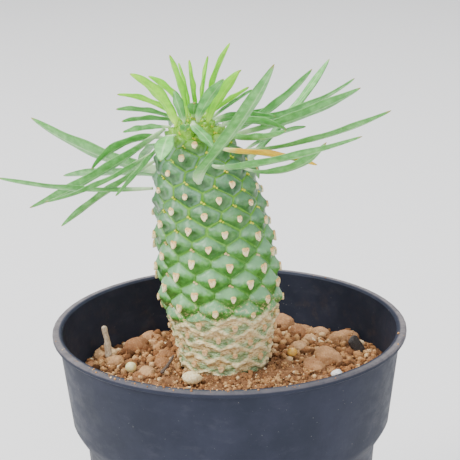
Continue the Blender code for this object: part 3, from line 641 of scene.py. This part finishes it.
def leaf_surface(leaf, count):
    """One leaf blade. Its middle line starts square to the trunk, turns to its heading over its first part
    and lifts evenly from one rise to the other. Each section is a lens round that line, with a channel above,
    a midrib below and edges that wave a little. Returns points row by row, and shares along, across and up."""
    tubercle, heading, rise, tip_rise, length, width, roll = leaf
    length, width = length * MM, width * MM
    share = np.linspace(0, 1, LEAF_STEPS + 1)
    azimuth = FIRST_AZIMUTH + TURN * tubercle
    swing = (heading - azimuth + 180) % 360 - 180
    turned = 1 - (1 - np.minimum(share / LEAF_TURN_SHARE, 1)) ** 2
    line = direction(azimuth + swing * turned, rise + (tip_rise - rise) * share)
    tip, outward, _ = trunk_frame(np.array([float(tubercle)]), np.array([float(azimuth)]))
    lean = np.linalg.norm(np.cross(outward[0], direction(azimuth, rise)))
    start = tip[0] + outward[0] * (LEAF_GAP + LEAF_HALF_THICKNESS * lean)
    middle = start + np.concatenate([np.zeros((1, 3)), np.cumsum(line, 0)[:-1]]) * (length / LEAF_STEPS)
    # Every step near the ends and every second one between, after one more ring sunk into the trunk
    keep = np.concatenate([[0], np.arange(0, 12), np.arange(12, 88, 2), np.arange(88, LEAF_STEPS + 1)])
    share, line, middle = share[keep], line[keep], middle[keep]
    middle[0] -= line[0] * 0.75 * MM
    level = np.cross(line, [0, 0, 1.0])
    level /= np.linalg.norm(level, axis=1)[:, None]
    turn = -1 if level[len(level) // 2, 1] < 0 else 1
    phase = 2.4 * count
    tilt = radians(roll) * turn + 0.10 * np.sin(4.5 * share + phase)
    across = level * np.cos(tilt)[:, None] + np.cross(line, level) * np.sin(tilt)[:, None]
    upper = np.cross(across, line)
    angle = np.arange(LEAF_SIDES) / LEAF_SIDES * tau
    side, face = np.cos(angle), np.sin(angle)
    full = leaf_width(share)
    half = width / 2 * full * (1 + 0.05 * np.sin(11 * share + phase) * np.sin(pi * share))
    half = half * (1 - 0.35 * np.exp(-share * length / (0.7 * MM)))
    thick = LEAF_HALF_THICKNESS * (0.55 + 0.45 * full) * np.minimum(1, full / 0.25) ** 0.5
    lens = np.sign(face) * abs(face) ** 0.85
    lift = thick[:, None] * lens[None] * np.where(face > 0, 0.85, 1.0)[None]
    rib = np.exp(-((side / 0.16) ** 2)) * np.clip(1.2 - 1.1 * share, 0, 1)[:, None]
    lift = lift - 0.16 * MM * rib * full[:, None]
    lift = lift + 0.15 * half[:, None] * side**2
    wave = 0.22 * MM * np.sin(17 * share + phase) * np.sin(pi * share) * full
    lift = lift + wave[:, None] * side**3
    points = middle[:, None] + across[:, None] * (side * half[:, None])[..., None]
    points = points + upper[:, None] * lift[..., None]
    shape = points.shape[:2]
    return points, *(np.broadcast_to(part, shape) for part in (share[:, None], side, face))


# Finish of each kind of leaf: dark and light mottling, tip, foot and rib, spots and edges, and its roughness
LEAF_LOOKS = {
    "old_leaf": (
        "grey_green_leaf", (0.100, 0.370, 0.080), (0.265, 0.630, 0.215), (0.085, 0.320, 0.045),
        (0.600, 0.800, 0.480), (0.050, 0.160, 0.025), 0.42,
    ),
    "young_leaf": (
        "yellow_green_leaf", (0.215, 0.660, 0.008), (0.430, 0.900, 0.030), (0.185, 0.590, 0.012),
        (0.560, 0.920, 0.110), (0.100, 0.380, 0.004), 0.40,
    ),
    "dry_leaf": (
        "dry_leaf", (0.720, 0.400, 0.012), (0.880, 0.560, 0.025), (0.800, 0.480, 0.015),
        (0.780, 0.860, 0.420), (0.480, 0.230, 0.015), 0.55,
    ),
}


def make_leaves():
    """One blade for each leaf of the list, in the finish of its kind."""
    finishes = {kind: leaf_finish(*looks) for kind, looks in LEAF_LOOKS.items()}
    for count, leaf in enumerate(LEAVES, start=1):
        points, along, side, face = leaf_surface(leaf, count)
        rows, columns = along.shape
        ends = [points[0].mean(0), points[-1].mean(0)]
        name = f"leaf_{count:02d}"
        kind = "young_leaf" if count in YOUNG_LEAVES else "dry_leaf" if count == DRY_LEAF else "old_leaf"
        tone = float(random_of(np.array([count]), 21)[0])
        attributes = {
            "along": np.append(along.ravel(), [0, 1]),
            "side": np.append(side.ravel(), [0, 0]),
            "face": np.append(face.ravel(), [0, 0]),
            "tone": np.full(rows * columns + 2, tone),
        }
        points, faces = np.concatenate([points.reshape(-1, 3), ends]), tube_faces(rows, columns)[:, ::-1]
        make_piece(name + "_blade", points, faces, finishes[kind], [name], attributes)


def leaf_finish(name, base, middle, tip, foot, spot, rough):
    """Leaf: colour runs from foot to tip, edges are darker, and fine veins run along it, with dull spots."""
    look = Finish(name)
    along, side, face = look.attribute("along"), look.attribute("side"), look.attribute("face")
    tone = look.attribute("tone")
    mottle = look.noise(2.2 * MM, 5)
    fine = look.noise(0.45 * MM, 3)
    blade = look.mix(look.fade(mottle, 0.32, 0.70), base, middle)
    blade = look.mix(look.times(tone, 0.5), blade, tip)
    rim = look.fade(look.math("ABSOLUTE", side), 0.72, 0.99)
    blade = look.mix(look.times(rim, 0.55), blade, spot)
    rib = look.fade(look.math("ABSOLUTE", side), 0.16, 0.02)
    blade = look.mix(look.times(rib, 0.35), blade, foot)
    blade = look.mix(look.times(look.fade(fine, 0.55, 0.8), 0.25), blade, spot)
    from_foot = look.plus(along, look.fade(mottle, 0.3, 0.7, -0.04, 0.04))
    blade = look.mix(look.fade(from_foot, 0.20, 0.03), blade, foot)
    end = look.fade(look.plus(along, look.times(tone, 0.022)), 0.972, 1.012)
    blade = look.mix(look.times(end, 0.8), blade, (0.34, 0.20, 0.06))
    look.set(Base_Color=blade, Roughness=rough, Specular_IOR_Level=0.4)
    veins = look.math("SINE", look.times(side, 34.0))
    look.bump(look.plus(look.times(veins, 0.25), look.noise(0.5 * MM, 4)), 0.06 * MM, 0.5)
    look.set(Subsurface_Weight=0.22, Subsurface_Radius=(0.5, 1.0, 0.25), Subsurface_Scale=0.0015)
    return look.material


# ---- soil ----


def soil_height(x, y):
    """Soil: heaped at the trunk and in front, dropping with the square of the distance towards the back and
    the left; lump_height gives a rounded lump of (1 - r^2)^2 for each piece of clay."""
    spread = np.minimum(np.hypot(x, y) / 41.5e-3, 1.0)
    azimuth = np.arctan2(x, -y)
    drop = SOIL_EDGE_DROP * (0.55 - 0.45 * np.cos(azimuth) - 0.25 * np.sin(azimuth))
    return SOIL_LINE - drop * spread**2


def lump_height(x, y):
    total = np.zeros_like(x)
    for azimuth, distance, radius, rise in SOIL_LUMPS:
        centre = direction(azimuth) * distance * MM
        away = np.hypot(x - centre[0], y - centre[1]) / (radius * MM)
        total += rise * MM * np.maximum(1 - away**2, 0) ** 2
    return total


def inner_radius(height):
    """Inside of the pot's wall, from its floor up to the lip."""
    return np.interp(height, WALL_HEIGHTS, WALL_RADII) - WALL_THICKNESS


def make_soil():
    """The soil as one lathed form: the pot's inside, a top worked out point by point with three sizes of
    crumbs, and the socket that the trunk stands in."""
    columns = 400
    around = direction(np.arange(columns) * 360 / columns)
    rings = []
    for height in (SOIL_BOTTOM, *WALL_HEIGHTS[1:3]):
        rings.append(around * (inner_radius(height) - SOIL_GAP) + [0, 0, height])
    hole = profile_at(np.array([SOIL_LINE_TUBERCLE]))[0][0] + 0.1 * MM
    near = trunk_axis(np.array([0.0]))[0] + around * hole
    edge = around * (inner_radius(SOIL_LINE - 2 * MM) - SOIL_GAP)
    far = around * (inner_radius(soil_height(edge[:, 0], edge[:, 1])) - SOIL_GAP)[:, None]
    for share in np.linspace(0, 1, 130):
        place = far + (near - far) * share
        x, y = place[:, 0], place[:, 1]
        flat = np.stack([x, y, 0 * x], -1)
        crumbs = 0.55 * MM * rough_noise(flat, 2.4 * MM, 4, 31) + 0.35 * MM * noise_at(flat, 0.7 * MM, 35)
        height = soil_height(x, y) + LUMP_SHARE * lump_height(x, y) + min(1.0, share * 14) * crumbs
        rings.append(np.stack([x, y, height], -1))
    for number in SOCKET_TUBERCLES:
        radius, height = profile_at(np.array([number]))
        rings.append(trunk_axis(height)[0] + around * (radius[0] + SOIL_GAP))
    points = np.stack(rings)
    bottom, pit = [0, 0, SOIL_BOTTOM], points[-1].mean(0) - [0, 0, 1.85 * MM]
    points = np.concatenate([points.reshape(-1, 3), [bottom, pit]])
    make_piece("soil_bed", points, tube_faces(len(rings), columns), earth_finish(), ["potting_soil"])


def earth_finish():
    look = Finish("crumbly_earth")
    blotch = look.noise(3.5 * MM, 5, 0.6)
    grain = look.noise(0.5 * MM, 5, 0.7)
    brown = look.ramp(look.plus(look.times(blotch, 0.5), look.times(grain, 0.5)), [
        (0.30, (0.060, 0.027, 0.011)), (0.45, (0.190, 0.088, 0.040)),
        (0.58, (0.360, 0.185, 0.088)), (0.72, (0.580, 0.360, 0.200)),
    ])
    look.set(Base_Color=brown, Roughness=0.95, Specular_IOR_Level=0.2)
    look.bump(grain, 0.3 * MM, 0.9)
    return look.material


def random_turns(count, rng):
    """Random rotation matrices, from unit quaternions."""
    q = rng.normal(size=(count, 4))
    w, x, y, z = (q / np.linalg.norm(q, axis=1)[:, None]).T
    return np.stack([
        np.stack([1 - 2 * (y * y + z * z), 2 * (x * y - z * w), 2 * (x * z + y * w)], -1),
        np.stack([2 * (x * y + z * w), 1 - 2 * (x * x + z * z), 2 * (y * z - x * w)], -1),
        np.stack([2 * (x * z - y * w), 2 * (y * z + x * w), 1 - 2 * (x * x + y * y)], -1),
    ], 1)


def strew_stones(name, places, size, columns, unevenness, stretch, rng, tone_range, tone_power=1.0):
    """Small stones at these places as one piece: spheres of three rings, with each point pushed in or out,
    stretched and turned at random, each with its own tone."""
    base, count = sphere(3, columns), len(size)
    shapes = base[None] * (1 + unevenness * rng.uniform(-1, 1, (count, len(base), 1))) * stretch
    points = np.einsum("nij,nkj->nki", random_turns(count, rng), shapes)
    points = points * size[:, None, None] + places[:, None]
    faces = copied_faces(tube_faces(3, columns), count, len(base))
    tone = np.repeat(rng.uniform(*tone_range, count) ** tone_power, len(base))
    make_piece(name, points.reshape(-1, 3), faces, crumb_finish(), (), {"tone": tone})


def make_crumbs():
    """Thousands of small stones strewn over the soil, finer in front and paler there, which is painted light
    on the front soil, and kept inside the wall.
    """
    rng = np.random.default_rng(7)
    count = 4200
    azimuth = rng.uniform(0, 360, count)
    axis = trunk_axis(np.array([SOIL_LINE]))[0]
    inner, outer = 12.3 * MM, 41.6 * MM
    distance = np.sqrt(rng.uniform(inner**2, outer**2, count))
    share = np.clip((distance - inner) / (outer - inner), 0, 1)[:, None]
    place = direction(azimuth) * distance[:, None] + (1 - share) * [axis[0], axis[1], 0]
    front = smooth_step(np.cos(np.radians(azimuth)), -0.2, 0.6)
    size = (0.28 + 0.95 * rng.uniform(0, 1, count) ** 3.4 * (1.1 - 0.65 * front)) * MM
    stretch = rng.uniform(0.65, 1.2, (count, 1, 3))
    x, y = place[:, 0], place[:, 1]
    height = soil_height(x, y) + LUMP_SHARE * lump_height(x, y) + 0.25 * size + 0.25 * MM
    inwards = np.minimum(1, (inner_radius(height) - 1.4 * size) / np.hypot(x, y))
    place = np.stack([x * inwards, y * inwards, height], -1)
    # The tone power falls in front, so the front crumbs are paler: painted light on the front soil.
    strew_stones("soil_crumbs", place, size, 7, 0.30, stretch, rng, (0, 1), 1 - 0.45 * front)


def crumb_finish():
    look = Finish("soil_crumb")
    grain = look.noise(0.35 * MM, 4, 0.7)
    brown = look.ramp(look.attribute("tone"), [
        (0.0, (0.095, 0.038, 0.013)), (0.25, (0.290, 0.125, 0.048)), (0.55, (0.480, 0.235, 0.095)),
        (0.88, (0.680, 0.400, 0.180)), (0.985, (0.860, 0.610, 0.340)), (1.0, (0.970, 0.830, 0.570)),
    ])
    shaded = look.mix(look.fade(grain, 0.35, 0.65), look.mix(0.45, brown, (0.05, 0.02, 0.01)), brown)
    look.set(Base_Color=shaded, Roughness=0.95, Specular_IOR_Level=0.2)
    look.bump(grain, 0.15 * MM, 0.8)
    return look.material


def uneven_stone(centre, half_sizes, seed, rows=26, columns=40, rough=0.16, fine=0.05, turn=0.0):
    """A closed stone: a sphere pushed in and out by broad and fine noise, stretched to its half sizes."""
    base = sphere(rows, columns)
    push = 1 + rough * noise_at(base + seed * 3.7, 0.8, seed) + fine * rough_noise(base + seed, 0.22, 2, seed)
    shape = base * push[:, None] * np.array(half_sizes)
    c, s = cos(radians(turn)), sin(radians(turn))
    return shape @ np.array([[c, s, 0], [-s, c, 0], [0, 0, 1]]) + np.array(centre), tube_faces(rows, columns)


def make_clay_lumps():
    """Large fired-clay lumps: an uneven stone on each swelling of the soil, with smaller ones beside them."""
    rng = np.random.default_rng(21)
    rows = [(a, d, 0.78 * r, 0.8 * h, i) for i, (a, d, r, h) in enumerate(SOIL_LUMPS)]
    for i in range(34):
        place = rng.uniform(75, 285), rng.uniform(17, 39)
        rows.append((*place, rng.uniform(1.2, 2.6), rng.uniform(0.6, 1.6), 40 + i))
    points, faces, tones = [], [], []
    for azimuth, distance, radius, rise, seed in rows:
        x, y, _ = direction(azimuth) * distance * MM
        base = float(soil_height(x, y))
        length, width = radius * rng.uniform(0.9, 1.15) * MM, radius * rng.uniform(0.75, 1.0) * MM
        depth = (0.45 * radius + 0.35 * rise) * MM
        inwards = min(1, (float(inner_radius(base)) - 1.25 * max(length, width)) / (distance * MM))
        centre = x * inwards, y * inwards, base + 0.62 * rise * MM - 0.25 * depth
        stone, sides = uneven_stone(centre, (length, width, depth), seed, turn=rng.uniform(0, 360))
        faces.append(sides + len(stone) * len(points))
        points.append(stone)
        tones.append(np.full(len(stone), rng.uniform(0, 1)))
    tone = {"tone": np.concatenate(tones)}
    make_piece("clay_lumps", np.concatenate(points), np.concatenate(faces), clay_finish(), (), tone)


def clay_finish():
    look = Finish("fired_clay_lump")
    blotch, grain = look.noise(1.8 * MM, 5, 0.65), look.noise(0.4 * MM, 4, 0.7)
    base = look.ramp(look.attribute("tone"), [
        (0.0, (0.365, 0.165, 0.072)), (0.5, (0.565, 0.310, 0.147)), (1.0, (0.710, 0.450, 0.235)),
    ])
    dusty = look.mix(look.fade(blotch, 0.35, 0.70), look.mix(0.45, base, (0.16, 0.070, 0.030)), base)
    dusty = look.mix(look.times(look.fade(grain, 0.5, 0.8), 0.5), dusty, (0.85, 0.64, 0.42))
    look.set(Base_Color=dusty, Roughness=0.95, Specular_IOR_Level=0.2)
    look.bump(grain, 0.25 * MM, 0.8)
    return look.material


# ---- loose pieces on the soil ----


def node_middle(node):
    """(middle, half sizes) of a node's box."""
    low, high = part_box(node)
    return (low + high) / 2, (high - low) / 2


def make_toppings():
    """Each loose piece fills its own solid's box as a finely uneven stone."""
    pumice = stone_finish("pumice", (0.80, 0.60, 0.28), (1.0, 0.90, 0.60), 0.4)
    pale = pellet_finish("pale_pellet", (0.72, 0.62, 0.25), (0.86, 0.80, 0.50))
    amber = pellet_finish("amber_pellet", (0.72, 0.38, 0.05), (0.88, 0.60, 0.20))
    perlite = stone_finish("perlite", (0.78, 0.77, 0.74), (0.93, 0.92, 0.90), 0.5)
    rows = [
        ("pumice_pebble", "pumice", pumice, 0.10, 0.06),
        ("fertiliser_pellet_left", "pale_pellet", pale, 0.04, 0.0),
        ("fertiliser_pellet_right", "amber_pellet", amber, 0.04, 0.0),
        ("perlite_crumb", "perlite", perlite, 0.18, 0.10),
    ]
    for seed, (node, slot, finish, rough, fine) in enumerate(rows, start=3):
        centre, half = node_middle(node)
        points, faces = uneven_stone(centre, half, seed, 30, 44, rough, fine)
        make_piece(node + "_detail", points, faces, finish, [node])


def stone_finish(name, dark, light, pit):
    look = Finish(name + "_stone")
    grain = look.noise(0.6 * MM, 5, 0.65)
    holes = look.fade(look.cells(0.7 * MM), 0.05, 0.35)
    colour = look.mix(look.fade(grain, 0.3, 0.7), dark, light)
    # Painted shade: a darker colour inside the bumped pits.
    pit_shade = look.times(look.fade(holes, 0.4, 0.0), pit)
    look.set(Base_Color=look.mix(pit_shade, colour, tuple(0.45 * c for c in dark)), Roughness=0.9)
    look.bump(look.plus(grain, holes), 0.2 * MM, 0.6)
    return look.material


def pellet_finish(name, dark, light):
    look = Finish(name + "_coat")
    cloud = look.noise(1.1 * MM, 4)
    look.set(Base_Color=look.mix(look.fade(cloud, 0.35, 0.7), dark, light), Roughness=0.35)
    look.set(Subsurface_Weight=0.15, Subsurface_Scale=0.001)
    look.bump(look.noise(0.4 * MM, 3), 0.05 * MM, 0.5)
    return look.material


def signed_power(value, power):
    return np.sign(value) * abs(value) ** power


def make_bark_chip():
    """A thin slab that stands on edge: a superellipse in plan and in section, with layered edges."""
    centre, _ = node_middle("bark_chip")
    rows, columns = 22, 56
    polar = ((np.arange(rows) + 1) / (rows + 1) - 0.5) * pi
    angle = np.arange(columns) / columns * tau
    flat = abs(np.cos(polar)) ** 0.35
    x = np.outer(flat, signed_power(np.cos(angle), 0.45))
    y = np.outer(flat, signed_power(np.sin(angle), 0.45))
    z = np.outer(signed_power(np.sin(polar), 0.6), np.ones(columns))
    shape = np.stack([x, y, z], -1).reshape(-1, 3)
    shape = np.concatenate([shape, [[0, 0, -1], [0, 0, 1]]])
    shape = shape * (1 + 0.10 * noise_at(shape + 9, 0.5, 4))[:, None]
    shape[:, 2] += 0.25 * noise_at(shape * [1, 4, 0.2], 0.5, 6)
    shape = shape * np.array([3.0, 1.6, 0.55]) * MM
    for angle, axis in ((62, "X"), (58, "Y"), (10, "Z")):
        shape = shape @ np.array(Matrix.Rotation(radians(angle), 3, axis)).T
    points = shape + np.array(centre) + [0, 0, 0.9 * MM]
    make_piece("bark_chip_detail", points, tube_faces(rows, columns), bark_finish(), ["bark_chip"])


def bark_finish():
    look = Finish("dark_bark")
    fibre = look.noise(0.6 * MM, 6, 0.7, look.stretched((3, 0.6, 2)))
    grey = look.ramp(fibre, [
        (0.3, (0.016, 0.014, 0.014)), (0.55, (0.065, 0.056, 0.052)), (0.75, (0.170, 0.150, 0.140)),
    ])
    look.set(Base_Color=grey, Roughness=0.8)
    look.bump(fibre, 0.25 * MM, 0.9)
    return look.material


def make_stick(node, finish, foot_place, length, radius, rise, heading):
    """A tapered stick: rings round a line with a sine crook, whose radius wanders with noise.
    Its foot is at an azimuth and a distance, and lengths are in millimetres."""
    low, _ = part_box(node)
    line = direction(heading, rise)
    across = np.cross(line, [0, 0, 1.0])
    across /= np.linalg.norm(across)
    upper = np.cross(across, line)
    foot = direction(foot_place[0]) * foot_place[1] * MM
    foot[2] = low.z + radius * MM * cos(radians(rise))
    rows, columns = 40, 18
    share = np.linspace(0, 1, rows)
    angle = np.arange(columns) / columns * tau
    spine = foot + share[:, None] * line * length * MM
    spine = spine + (0.05 * length * MM * np.sin(pi * share))[:, None] * across
    round_end = np.sqrt(np.clip(1 - ((share - 0.5) * 2) ** 16, 0.02, 1))
    size = radius * MM * (1 - 0.35 * share) * round_end
    ring = np.cos(angle)[None, :, None] * across + np.sin(angle)[None, :, None] * upper
    points = spine[:, None] + ring * size[:, None, None]
    rough = 1 + 0.16 * noise_at(points, 1.1 * radius * MM, 17)
    rough = rough + 0.06 * noise_at(points, 0.4 * radius * MM, 18)
    points = spine[:, None] + ring * (size[:, None] * rough)[..., None]
    points = np.concatenate([points.reshape(-1, 3), [spine[0], spine[-1]]])
    make_piece(node + "_detail", points, tube_faces(rows, columns)[:, ::-1], finish, [node])


def wood_finish(name, dark, light):
    look = Finish(name)
    fibre = look.noise(0.5 * MM, 6, 0.7, look.stretched((2.5, 2.5, 0.7)))
    look.set(Base_Color=look.mix(look.fade(fibre, 0.35, 0.65), dark, light), Roughness=0.85)
    look.bump(fibre, 0.2 * MM, 0.8)
    return look.material


# ---- pot ----


def dress_pot(pot):
    """The moulded pot keeps its own shape, is shaded smooth across its flats, and takes a dusty plastic."""
    pot.data.materials.clear()
    pot.data.materials.append(pot_finish())
    group = bpy.data.node_groups.new("smooth_flats", "GeometryNodeTree")
    for side in ("INPUT", "OUTPUT"):
        group.interface.new_socket("Geometry", in_out=side, socket_type="NodeSocketGeometry")
    kinds = (
        "NodeGroupInput", "GeometryNodeMergeByDistance", "GeometryNodeSetShadeSmooth",
        "GeometryNodeSetShadeSmooth", "NodeGroupOutput",
        "GeometryNodeInputMeshEdgeAngle", "FunctionNodeCompare",
    )
    start, merge, faces, edges, end, angle, gentle = (group.nodes.new(kind) for kind in kinds)
    merge.inputs["Distance"].default_value = 0.01 * MM
    gentle.operation = "LESS_THAN"
    gentle.inputs["B"].default_value = radians(35)
    faces.domain, edges.domain = "FACE", "EDGE"
    links = (
        (start.outputs[0], merge.inputs["Geometry"]),
        (merge.outputs["Geometry"], faces.inputs["Geometry"]),
        (faces.outputs["Geometry"], edges.inputs["Geometry"]),
        (edges.outputs["Geometry"], end.inputs[0]),
        (angle.outputs["Unsigned Angle"], gentle.inputs["A"]),
        (gentle.outputs["Result"], edges.inputs["Shade Smooth"]),
    )
    for output, socket in links:
        group.links.new(output, socket)
    pot.modifiers.new("smooth_flats", "NODES").node_group = group


def pot_finish():
    """Dark blue-grey plastic: cloudy dust, pale specks, scuffs, a rim top paled by dust and a painted highlight,
    and earth on the inside wall.
    """
    look = Finish("dusty_pot_plastic")
    x, y, height = look.add("ShaderNodeSeparateXYZ", {"Vector": look.place}).outputs
    radius = look.math("SQRT", look.plus(look.times(x, x), look.times(y, y)))
    cloud = look.noise(14 * MM, 5, 0.6)
    smudge = look.noise(5 * MM, 5, 0.65, look.stretched((1, 1, 1.8)))
    plastic = look.mix(look.fade(cloud, 0.35, 0.7), (0.020, 0.024, 0.039), (0.029, 0.033, 0.053))
    plastic = look.mix(look.times(look.fade(smudge, 0.50, 0.78), 0.30), plastic, (0.065, 0.066, 0.088))
    specks = look.times(look.fade(look.noise(0.55 * MM, 2, 0.5), 0.74, 0.80), 0.5)
    plastic = look.mix(specks, plastic, (0.40, 0.37, 0.33))
    # Paler rim top: dust, together with a painted highlight that is dimmer in front and stronger at the sides.
    top = look.fade(height, POT_HEIGHT - 0.6 * MM, POT_HEIGHT - 0.2 * MM)
    rim = look.times(top, look.fade(radius, 43.1 * MM, 43.7 * MM))
    rim = look.times(rim, look.fade(look.noise(3 * MM, 5, 0.7), 0.25, 0.65, 0.4, 0.9))
    rim = look.times(rim, look.fade(y, -40 * MM, -15 * MM, 0.45, 1.0))
    plastic = look.mix(rim, plastic, (0.20, 0.180, 0.185))
    # Inside is where the radius is less than that of the middle of the collar's wall at this height
    lip_radius = float(WALL_RADII[-1] - WALL_THICKNESS / 2 - COLLAR_SLOPE * WALL_HEIGHTS[-1])
    beyond = look.math("SUBTRACT", radius, look.plus(look.times(height, COLLAR_SLOPE), lip_radius))
    inside = look.fade(beyond, 0.2 * MM, -0.2 * MM)
    inside = look.times(inside, look.fade(height, 76 * MM, 66 * MM, 0.35, 1.0))
    earth = look.times(inside, look.fade(look.noise(4 * MM, 5, 0.7), 0.50, 0.70))
    plastic = look.mix(look.times(earth, 0.30), plastic, (0.085, 0.060, 0.050))
    look.set(Base_Color=plastic, Roughness=look.fade(smudge, 0.3, 0.8, 0.45, 0.65), Specular_IOR_Level=0.12)
    scuffs = look.noise(0.8 * MM, 4, 0.6, look.stretched((1, 1, 0.25)))
    look.bump(look.plus(scuffs, look.times(look.noise(0.3 * MM, 2), 0.6)), 0.05 * MM, 0.35)
    return look.material


def make_rim_dirt():
    """Fine crumbs that lie on the rim, thicker towards the front left."""
    rng = np.random.default_rng(11)
    count = 420
    azimuth = rng.uniform(-180, 180, count)
    keep = rng.uniform(0, 1, count) < 0.04 + 0.96 * np.exp(-((azimuth + 22) / 38) ** 2)
    azimuth = azimuth[keep]
    count = len(azimuth)
    distance = rng.uniform(RIM_INNER_RADIUS + 0.3 * MM, RIM_RADIUS - 0.3 * MM, count)
    size = (0.08 + 0.28 * rng.uniform(0, 1, count) ** 3) * MM
    place = direction(azimuth) * distance[:, None]
    place[:, 2] = POT_HEIGHT + 0.35 * size
    strew_stones("rim_crumbs", place, size, 6, 0.25, 1.0, rng, (0.35, 1))


# ---- studio ----


def make_floor():
    bpy.ops.mesh.primitive_plane_add(size=30)
    floor = bpy.context.object
    floor.name = "floor"
    look = Finish("pale_floor")
    pale = look.mix(look.noise(0.8, 2), (0.79, 0.785, 0.785), (0.82, 0.815, 0.815))
    look.set(Base_Color=pale, Roughness=0.9)
    floor.data.materials.append(look.material)


def add_light(name, place, size, power, colour):
    """A round soft light aimed at the plant."""
    light = bpy.data.lights.new(name, "AREA")
    light.shape, light.size, light.energy, light.color = "DISK", size, power, colour
    lamp = bpy.data.objects.new(name, light)
    bpy.context.scene.collection.objects.link(lamp)
    lamp.location = place
    lamp.rotation_euler = (CAMERA_TARGET - Vector(place)).to_track_quat("-Z", "Y").to_euler()


def make_studio():
    make_floor()
    add_light("sky", (-0.15, 0.25, 1.1), 1.1, 23.5, (0.98, 0.99, 1.0))
    add_light("key", (-0.7, -0.35, 0.75), 0.5, 9.5, (1.0, 0.985, 0.955))
    add_light("fill", (0.30, -0.95, 0.45), 0.9, 7.5, (0.97, 0.98, 1.0))
    world = bpy.data.worlds.new("studio")
    world.use_nodes = True
    background = world.node_tree.nodes["Background"].inputs
    background["Color"].default_value = (0.83, 0.84, 0.87, 1)
    background["Strength"].default_value = 0.60
    bpy.context.scene.world = world


def make_camera():
    """Looks down at the pitch, from the given distance, with its own slight roll."""
    pitch, roll = radians(CAMERA_PITCH), radians(CAMERA_ROLL)
    back = Vector((0, -cos(pitch), sin(pitch)))
    up = Vector((0, sin(pitch), cos(pitch)))
    right = Vector((1, 0, 0)) * cos(roll) + up * sin(roll)
    top = back.cross(right)
    turn = Matrix((right, top, back)).transposed()
    data = bpy.data.cameras.new("camera")
    data.lens = CAMERA_LENS
    data.sensor_width = 36
    camera = bpy.data.objects.new("camera", data)
    bpy.context.scene.collection.objects.link(camera)
    camera.matrix_world = Matrix.Translation(CAMERA_TARGET + back * CAMERA_DISTANCE) @ turn.to_4x4()
    bpy.context.scene.camera = camera


def clear_scene():
    for thing in list(bpy.data.objects):
        bpy.data.objects.remove(thing, do_unlink=True)


clear_scene()
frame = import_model()
make_camera()
make_studio()
make_trunk()
make_scars()
make_stipules()
make_leaves()
make_soil()
make_crumbs()
make_clay_lumps()
make_toppings()
make_bark_chip()
root_wood = wood_finish("dry_root", (0.34, 0.24, 0.15), (0.70, 0.58, 0.42))
make_stick("root_stub", root_wood, (-106, 33), length=9, radius=1.0, rise=82, heading=-120)
twig_wood = wood_finish("dark_twig", (0.05, 0.035, 0.028), (0.20, 0.15, 0.12))
make_stick("twig", twig_wood, (-67, 19.1), length=6.5, radius=0.45, rise=28, heading=145)
dress_pot(frame["nodes"]["pot"])
make_rim_dirt()
